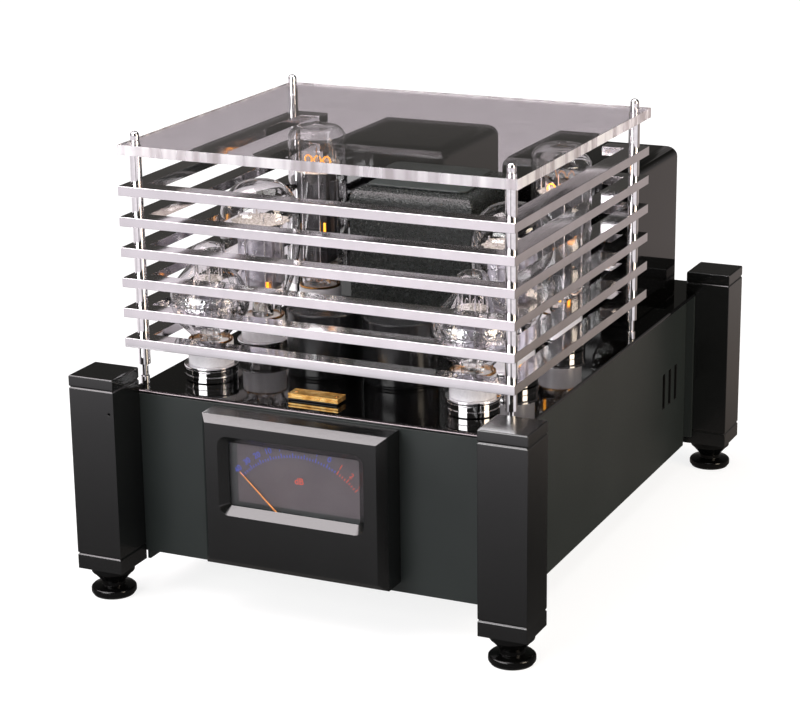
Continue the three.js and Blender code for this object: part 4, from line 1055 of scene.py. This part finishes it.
def make_socket(node, deck_top):
    """Chromed rings round a white ceramic body."""
    low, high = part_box(node)
    middle = middle_of(node)
    radius = (high[1] - low[1]) / 2
    bore, lip, band = (radius * share for share in (SOCKET_BORE_SHARE, RING_LIP_SHARE, RING_BAND_SHARE))
    seat = deck_top + GAP
    pitch = (high[2] - seat) / SOCKET_RINGS
    slope = pitch * RING_SLOPE_SHARE
    outline = [(bore, seat)]
    for i in range(SOCKET_RINGS):
        z = seat + i * pitch
        outline += [(lip, z), (band, z + slope), (band, z + pitch - slope), (lip, z + pitch)]
    outline += [(bore, high[2]), (bore, seat)]
    rings = turned(f"{node}_rings", outline, middle.x, middle.y, RING_EDGE)
    body_radius = bore - GAP
    body = turned(f"{node}_body", [(body_radius, low[2]), (body_radius, high[2] - GAP)],
                  middle.x, middle.y, BODY_EDGE)
    return [(rings, "chrome", "socket", node), (body, "ceramic", "socket", node)]


def make_base(name, x, y):
    """Flange, ceramic shell, gold collar and pins; returns them with the height of the base's top."""
    node = f"{name}_base"
    low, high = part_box(node)
    wide = (high[1] - low[1]) / 2
    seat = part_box(name.replace("tube_", "socket_"))[1][2] + GAP
    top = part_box(f"{name}_glass")[0][2] - GAP
    flange_top = seat + FLANGE_HEIGHT
    lip, radius = wide * FLANGE_SHARE, wide * SHELL_SHARE
    flange = turned(f"{node}_flange", [(lip, seat), (lip, flange_top)], x, y, BODY_EDGE)
    shell = turned(f"{node}_shell", [(radius, flange_top), (radius, top)], x, y, BODY_EDGE)
    inner, rim = (wide * share for share in COLLAR_SHARES)
    rim_top = top + COLLAR_RISE
    ring = [(inner, top + GAP), (rim, top + GAP), (rim, rim_top), (inner, rim_top), (inner, top + GAP)]
    collar = turned(f"{node}_collar", ring, x, y, COLLAR_EDGE)
    tip = [(PIN_RADIUS * PIN_TIP_SHARE, low[2]), (PIN_RADIUS, low[2] + PIN_TIP), (PIN_RADIUS, seat)]
    pins = []
    for i in range(PIN_COUNT):
        angle = (i + 0.5) / PIN_COUNT * 2 * math.pi
        pin_x, pin_y = x + PIN_CIRCLE * math.cos(angle), y + PIN_CIRCLE * math.sin(angle)
        pins.append(turned("pin", tip, pin_x, pin_y, 0.0, PIN_SIDES))
    pieces = [(flange, "chrome", "socket", node), (shell, "ceramic", "tube_base", node),
              (collar, "gold", "tube_base", node), (joined(f"{node}_pins", pins), "gold", "tube_base", node)]
    return pieces, top


SPACER_SIDES = 48
TOOTH_STEPS = 4
TOOTH_SHARE = 0.92
SPACER_THICKNESS = 0.0008


def make_spacer(radius, z, x, y):
    """Round spacer whose edge is punched into teeth."""
    bpy.ops.mesh.primitive_circle_add(vertices=SPACER_SIDES, radius=radius, location=(x, y, z),
                                      fill_type="NGON")
    disc = edit(settle(bpy.context.object, "disc"))
    pick(disc, "verts", lambda vert: vert.index % TOOTH_STEPS < TOOTH_STEPS / 2)
    bpy.ops.transform.resize(value=(TOOTH_SHARE, TOOTH_SHARE, 1), center_override=(x, y, z))
    bpy.ops.mesh.select_all(action="SELECT")
    extrude(0, 0, SPACER_THICKNESS)
    return ease(close(disc), 0.0)


ANODE_BODY_SHARE = 0.85
ANODE_DRAW_IN = 0.55
ANODE_WING_SHARE = 0.3
ANODE_WING_BAND = 0.1
ANODE_EDGE = 0.0012
RIB_SHARE = 0.72
RIB_PROUD = 0.0009
RIB_HALF_HEIGHT = 0.0013
RIB_EDGE = 0.0007


def make_anode(name, x, y, plan, low, high):
    """Pressed anode: a box drawn in at its ends, with side wings and ribs across its faces."""
    half_w, half_d = plan["width"] / 2, plan["depth"] / 2
    body = half_w * ANODE_BODY_SHARE
    shell = box(name, (x - body, y - half_d, low), (x + body, y + half_d, high))
    edit(shell)
    pick(shell, "faces", lambda face: abs(face.normal.x) > FACING)
    bpy.ops.mesh.inset(thickness=half_d * ANODE_DRAW_IN)
    for sign in (-1, 1):
        pick(shell, "faces", lambda face: face.normal.x * sign > FACING and (
            abs(face.calc_center_median().y - y) < half_d * ANODE_WING_BAND
            and face.calc_area() > half_d * half_w))
        extrude(sign * half_w * ANODE_WING_SHARE, 0, 0)
    parts = [ease(close(shell), ANODE_EDGE, 3)]
    half = Vector((half_w * RIB_SHARE, half_d + RIB_PROUD, RIB_HALF_HEIGHT))
    for i in range(plan["ribs"]):
        middle = Vector((x, y, low + (high - low) * (i + 0.5) / plan["ribs"]))
        rib = box("rib", middle - half, middle + half)
        parts.append(ease(rib, RIB_EDGE))
    return joined(name, parts)


STEM_RADII = (0.0105, 0.0088, 0.0062)
STEM_WAIST = 0.45
STEM_PINCH = (1.25, 0.5, 1)
STEM_PINCH_FROM = 0.3
STEM_EDGE = 0.0012
STEM_SIDES = 32
STEM_CLEARANCE = 0.006


def make_stem(name, x, y, low, high):
    """Glass stem, pinched flat where the leads pass through it."""
    heights = (low, low + (high - low) * STEM_WAIST, high)
    stem = edit(turned(name, list(zip(STEM_RADII, heights)), x, y, STEM_EDGE, STEM_SIDES))
    pick(stem, "verts", lambda vert: vert.co.z > low + (high - low) * STEM_PINCH_FROM)
    bpy.ops.transform.resize(value=STEM_PINCH, center_override=(x, y, low))
    return ease(close(stem), 0.0)


ROD_PLACES = ((-1, 0), (1, 0), (-0.45, -1), (0.45, -1), (-0.45, 1), (0.45, 1))
ROD_REACH_SHARE = 0.57
ROD_DEPTH_SHARE = 0.62
ROD_SIDES = 10
ROD_TAIL = 0.005
SPACER_DROP = 0.002
SPACER_RISE = 0.001
LEAD_RADIUS = 0.00075
LEAD_SPREAD = (0.0035, 0.0045)
LEAD_BEND_SHARE = 0.8
LEAD_START = 0.004
LEAD_DROPS = (0.008, 0.007, 0.003)
HOOK_COUNT = 3
HOOK_SPACING = 0.28
# Hooks, and the filament over the rear anode: offsets across and up from the middle of the anode's top
HOOK_PATH = ((0, 0.0015), (0, 0.0075), (0.0012, 0.009), (0.0024, 0.0075))
FILAMENT_PATH = ((-0.0044, -0.002), (-0.0036, 0.0045), (0, 0.0075), (0.0036, 0.0045), (0.0044, -0.002))


def make_electrodes(kind, name, x, y, base_top):
    """Stem, spacers, anode, rods, hooks and the glowing filament of one tube."""
    plan = TUBE_PLANS[kind]
    foot = base_top + plan["foot"]
    top = foot + plan["tall"]
    reach = plan["width"] * ROD_REACH_SHARE
    deep = plan["depth"] * ROD_DEPTH_SHARE
    stem = make_stem(f"{name}_stem", x, y, base_top + GAP, foot - STEM_CLEARANCE)
    discs = [make_spacer(plan["mica"], foot - SPACER_DROP, x, y),
             make_spacer(plan["top_mica"], top + SPACER_RISE, x, y)]
    spacers = joined(f"{name}_spacers", discs)
    anode = make_anode(f"{name}_anode", x, y, plan, foot, top)
    rod = [(ROD_RADIUS, foot - ROD_TAIL), (ROD_RADIUS, top + plan["rod_top"])]
    wires = [turned("rod", rod, x + sx * reach, y + sy * deep, 0.0, ROD_SIDES) for sx, sy in ROD_PLACES]
    spread = (*LEAD_SPREAD, reach * LEAD_BEND_SHARE, reach)
    heights = (base_top + LEAD_START, *(foot - drop for drop in LEAD_DROPS))
    for sx in (-1, 1):
        lead = [(x + sx * out, y, z) for out, z in zip(spread, heights)]
        wires.append(wire("lead", lead, LEAD_RADIUS))
    glow = []
    for i in range(HOOK_COUNT):
        hook_x = x + plan["width"] * HOOK_SPACING * (i - 1)
        hook = [(hook_x + across, y, top + rise) for across, rise in HOOK_PATH]
        wires.append(wire("hook", hook, WIRE_RADIUS))
        if kind == "rear":
            thread = [(hook_x + across, y, top + rise) for across, rise in FILAMENT_PATH]
            glow.append(wire("thread", thread, FILAMENT_RADIUS))
    for share, low, high in plan["glows"]:
        line_x = x + share * plan["width"] / 2
        line = [(line_x, y - deep, foot + low), (line_x, y - deep, foot + high)]
        glow.append(wire("thread", line, GLOW_RADIUS))
    pieces = [(stem, "glass", "tube_glass", None), (spacers, "mica", "tube_base", None),
              (anode, plan["anode"], "tube_base", None),
              (joined(f"{name}_wires", wires), "wire", "tube_base", None)]
    if glow:
        pieces.append((joined(f"{name}_filament", glow), "filament", "tube_base", None))
    return pieces


def make_tube(kind, deck_top):
    """One kind of tube with its socket, modelled on the left and copied to the right."""
    name = f"tube_{kind}_left"
    middle = middle_of(f"{name}_base")
    x, y = middle.x, middle.y
    on_chassis = make_socket(f"socket_{kind}_left", deck_top)
    on_tube, base_top = make_base(name, x, y)
    node = f"{name}_glass"
    low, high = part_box(node)
    outline = bulb_outline(kind, low[2], high[2], (high[1] - low[1]) / 2)
    on_tube.append((make_shell(f"{node}_bulb", outline, x, y, GLASS_WALL), "glass", "tube_glass", node))
    on_tube += make_electrodes(kind, name, x, y, base_top)
    if TUBE_PLANS[kind]["getter"]:
        first, last = ((point - 1) * BULB_STEPS for point in TUBE_PLANS[kind]["getter"])
        band = [(radius - GETTER_GAP, height) for radius, height in outline[first:last + 1]]
        flash = make_shell(f"{name}_getter", band, x, y, GETTER_THICKNESS)
        on_tube.append((flash, "getter", "tube_glass", None))
    shift_x = middle_of(f"tube_{kind}_right_base").x - x
    for pieces, fixed in ((on_chassis, True), (on_tube, False)):
        for piece, finish, slot, stands_for in pieces:
            twin = copied(piece, piece.name.replace("left", "right"), (shift_x, 0, 0))
            for own, side in ((piece, "left"), (twin, "right")):
                body = "chassis" if fixed else f"tube_{kind}_{side}"
                nodes = [stands_for.replace("left", side)] if stands_for else ()
                keep(own, finish, body, slot, nodes)


# Rear fittings

FITTING_EDGE = 0.0003
BLADE_REACH = 0.0105
BLADE_HALF_HEIGHT = 0.006
BLADE_DEPTH = 0.0155
INLET_RIM = 0.002
JACK_REACH = 0.0095
TERMINAL_REACH = 0.0215
TERMINAL_OFFSET = 0.011
TERMINAL_HOLE = 0.0035


def make_fittings():
    """Mains inlet, rocker switch, input jacks and speaker sockets, each in its own materials."""
    fittings = {}
    for node, body in (("mains_inlet", "chassis"), ("switch_frame", "chassis"), ("switch_rocker", "rocker"),
                       ("input_jacks", "chassis")):
        fittings[node] = keep(solid_of(node, FITTING_EDGE), "nylon", body, "fitting", [node])
    centre = middle_of("mains_inlet")
    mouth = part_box("mains_inlet")[1][1]
    paint(fittings["mains_inlet"], "chrome", lambda spot, normal: abs(spot.x - centre.x) < BLADE_REACH and (
        abs(spot.z - centre.z) < BLADE_HALF_HEIGHT and spot.y < mouth - INLET_RIM and normal.y > -LEANING
        and abs(normal.z) + abs(normal.x) + normal.y > FACING and spot.y > mouth - BLADE_DEPTH))
    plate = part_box("input_jacks")[1][1] - JACK_REACH
    paint(fittings["input_jacks"], "gold", lambda spot, normal: spot.y > plate)
    for side in SIDES:
        node = f"speaker_sockets_{side}"
        middle = middle_of(node)
        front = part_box(node)[1][1]
        sockets = keep(solid_of(node, FITTING_EDGE), "nylon", "chassis", "fitting", [node])
        paint(sockets, "red_plastic", lambda spot, normal: spot.y > front - TERMINAL_REACH and (
            spot.x > middle.x))
        paint(sockets, "gold", lambda spot, normal: spot.y > front - TERMINAL_REACH and (
            abs(spot.y - front) < SAME_SPOT * 10 or math.dist(
                (abs(spot.x - middle.x), spot.z), (TERMINAL_OFFSET, middle.z)) < TERMINAL_HOLE))


# Stage, camera and light

FLOOR_REACH = 6.0
FADE_FROM, FADE_TO = 0.9, 2.4
FLOOR_GLOW = 0.84

# What a mirror finds in the floor from front to back: in the middle, and beyond the object's sides
MIRRORED = {
    "middle": ((0.03, "#fbf4f9"), (0.15, "#fbf4f9"), (0.193, "#eeebef"), (0.22, "#a8a5a8"), (0.35, "#7c797a"),
               (0.433, "#4a4745"), (0.533, "#4a4643"), (0.7, "#8b817a"), (0.9, "#a89e9b")),
    "left": ((0.03, "#eee8ed"), (0.15, "#e8e2e7"), (0.22, "#c4bec3"), (0.33, "#f4eef2"), (1.0, "#f4eef2")),
    "right": ((0.03, "#f4eef2"), (0.5, "#ece6ea"), (0.6, "#6a6460"), (0.7, "#8b817a"), (0.9, "#a89e9b")),
}

# Stretches of the floor along an axis, in metres from the object's middle
FLOOR_SPANS = {
    "deep": ("Y", -1.5, 1.5), "near": ("Y", -0.3, 0.1), "wide": ("X", -1.0, 1.0),
    "left": ("X", -0.5, -0.75), "right": ("X", 0.6, 0.75),
}


def make_floor():
    """Pale floor: white to the camera, shaded like a studio to mirrors, and grey through glass."""
    bpy.ops.mesh.primitive_plane_add(size=FLOOR_REACH * 2)
    floor = settle(bpy.context.object, "floor")
    made = bpy.data.materials.new("studio_floor")
    tree = bare_tree(made)
    path = add(tree, "LightPath")
    spot = add(tree, "TexCoord").outputs["Object"]
    paper = add(tree, "BsdfDiffuse", {"Color": linear("#8a8a8a")})
    away = add(tree, "VectorMath", {"Vector": spot}, operation="LENGTH")
    clear = add(tree, "MapRange", {"Value": away.outputs["Value"], "From Min": FADE_FROM,
                                   "From Max": FADE_TO, "To Min": FLOOR_GLOW, "To Max": 1.0})
    lift = add(tree, "Emission", {"Color": linear("#ffffff"), "Strength": clear})
    seen = add(tree, "AddShader", {0: paper, 1: lift})
    axes = add(tree, "SeparateXYZ", {"Vector": spot})
    along = {}
    for name, (axis, start, end) in FLOOR_SPANS.items():
        along[name] = add(tree, "MapRange", {"Value": axes.outputs[axis], "From Min": start, "From Max": end})
    shades = add(tree, "ValToRGB", {"Fac": along["deep"]}, MIRRORED["middle"])
    for side in SIDES:
        beside = add(tree, "ValToRGB", {"Fac": along["deep"]}, MIRRORED[side])
        shades = add(tree, "MixRGB", {"Fac": along[side], "Color1": shades, "Color2": beside})
    across = add(tree, "ValToRGB", {"Fac": along["wide"]}, (
        (0.6, "#ffffff"), (0.73, "#7c7c7c"), (0.8, "#8c8c8c"), (0.87, "#ffffff")))
    lit = add(tree, "Math", {0: across, 1: along["near"]}, operation="MAXIMUM")
    mirrored = add(tree, "Emission", {"Color": shades, "Strength": lit})
    through = add(tree, "Emission", {"Color": linear("#e6dce2"), "Strength": 1.0})
    upper = add(tree, "MixShader", {"Fac": path.outputs["Is Glossy Ray"], 1: seen, 2: mirrored})
    whole = add(tree, "MixShader", {"Fac": path.outputs["Is Transmission Ray"], 1: upper, 2: through})
    add(tree, "OutputMaterial", {"Surface": whole})
    floor.data.materials.append(made)
    floor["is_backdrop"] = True


def make_world():
    """Dim studio, brighter near the horizon; plain white to the camera."""
    world = bpy.data.worlds.new("studio")
    bpy.context.scene.world = world
    tree = bare_tree(world)
    way = add(tree, "TexCoord").outputs["Generated"]
    axes = add(tree, "SeparateXYZ", {"Vector": way})
    rise = add(tree, "ValToRGB", {"Fac": axes.outputs["Z"]},
               ((0.0, "#8f8a8a"), (0.22, "#403f3c"), (1.0, "#3a3a3c")))
    dim = add(tree, "Background", {"Color": rise, "Strength": 1.0})
    white = add(tree, "Background", {"Color": linear("#ffffff"), "Strength": 1.0})
    path = add(tree, "LightPath")
    mixed = add(tree, "MixShader", {"Fac": path.outputs["Is Camera Ray"], 1: dim, 2: white})
    add(tree, "OutputWorld", {"Surface": mixed})


LIT_POINT = Vector((0, 0, 0.2))
SKY_POWER = 0.8
SKY_WIDTH = math.radians(50)
SKY_TILT = (math.radians(12), math.radians(-14), 0)

# Rectangular lamps: place, width and height, power and colour
LAMPS = {
    "key_left": ((-1.05, -0.75, 2.1), (2.0, 2.0), 60, "#fff5f8"),
    "front_left": ((-0.7, -2.4, 1.2), (1.6, 1.0), 40, "#ffffff"),
    "overhead": ((0.5, 0.4, 2.3), (1.4, 1.0), 12, "#ffffff"),
    "fill_right": ((2.0, -0.4, 1.1), (0.8, 1.4), 32, "#ffedd6"),
}


def make_lights():
    """Softboxes that face one point of the object, and a broad dim skylight."""
    for name, (place, size, power, colour) in LAMPS.items():
        turn = (LIT_POINT - Vector(place)).to_track_quat("-Z", "Y").to_euler()
        bpy.ops.object.light_add(type="AREA", location=place, rotation=turn)
        holder = bpy.context.object
        holder.name = name
        holder.data.shape = "RECTANGLE"
        holder.data.size, holder.data.size_y = size
        holder.data.energy = power
        holder.data.color = linear(colour)[:3]
    bpy.ops.object.light_add(type="SUN", rotation=SKY_TILT)
    sun = bpy.context.object
    sun.name = "skylight"
    sun.data.energy = SKY_POWER
    sun.data.angle = SKY_WIDTH


CAMERA_PLACE = (0.9104, -2.0239, 0.8448)
CAMERA_AZIMUTH = 24.95
CAMERA_ELEVATION = 17.09
CAMERA_ROLL = -0.71
FOCAL_PIXELS = 2368.29
IMAGE_SIZE = (800, 712)
OPTICAL_CENTRE = (401.95, 368.69)
SENSOR_WIDTH = 36.0


def make_camera():
    """Camera at the photograph's viewpoint."""
    azimuth, elevation, roll = (math.radians(a) for a in (CAMERA_AZIMUTH, CAMERA_ELEVATION, CAMERA_ROLL))
    forward = Vector((-math.sin(azimuth) * math.cos(elevation), math.cos(azimuth) * math.cos(elevation),
                      -math.sin(elevation)))
    level = forward.cross(Vector((0, 0, 1))).normalized()
    upright = level.cross(forward)
    right = level * math.cos(roll) + upright * math.sin(roll)
    up = upright * math.cos(roll) - level * math.sin(roll)
    turn = Matrix((right, up, -forward)).transposed()
    bpy.ops.object.camera_add(location=CAMERA_PLACE, rotation=turn.to_euler())
    holder = bpy.context.object
    lens = holder.data
    lens.sensor_fit = "HORIZONTAL"
    lens.sensor_width = SENSOR_WIDTH
    lens.lens = FOCAL_PIXELS / IMAGE_SIZE[0] * SENSOR_WIDTH
    lens.shift_x = (IMAGE_SIZE[0] / 2 - OPTICAL_CENTRE[0]) / IMAGE_SIZE[0]
    lens.shift_y = (OPTICAL_CENTRE[1] - IMAGE_SIZE[1] / 2) / IMAGE_SIZE[0]
    lens.dof.use_dof = False
    lens.clip_start = 0.01
    bpy.context.scene.camera = holder
    bpy.context.scene.view_settings.view_transform = "Standard"


make_camera()
make_panels()
make_pillars()
deck_top = make_deck()
make_feet()
make_meter()
make_plate()
make_rails()
make_posts()
make_roof()
make_transformers()
make_capacitors()
for kind in BULB_SHARES:
    make_tube(kind, deck_top)
make_fittings()
make_floor()
make_world()
make_lights()

sizes = {"cad": cad_bounds, "visual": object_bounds()}
{name: [[float(v) for v in corner] for corner in found] for name, found in sizes.items()}
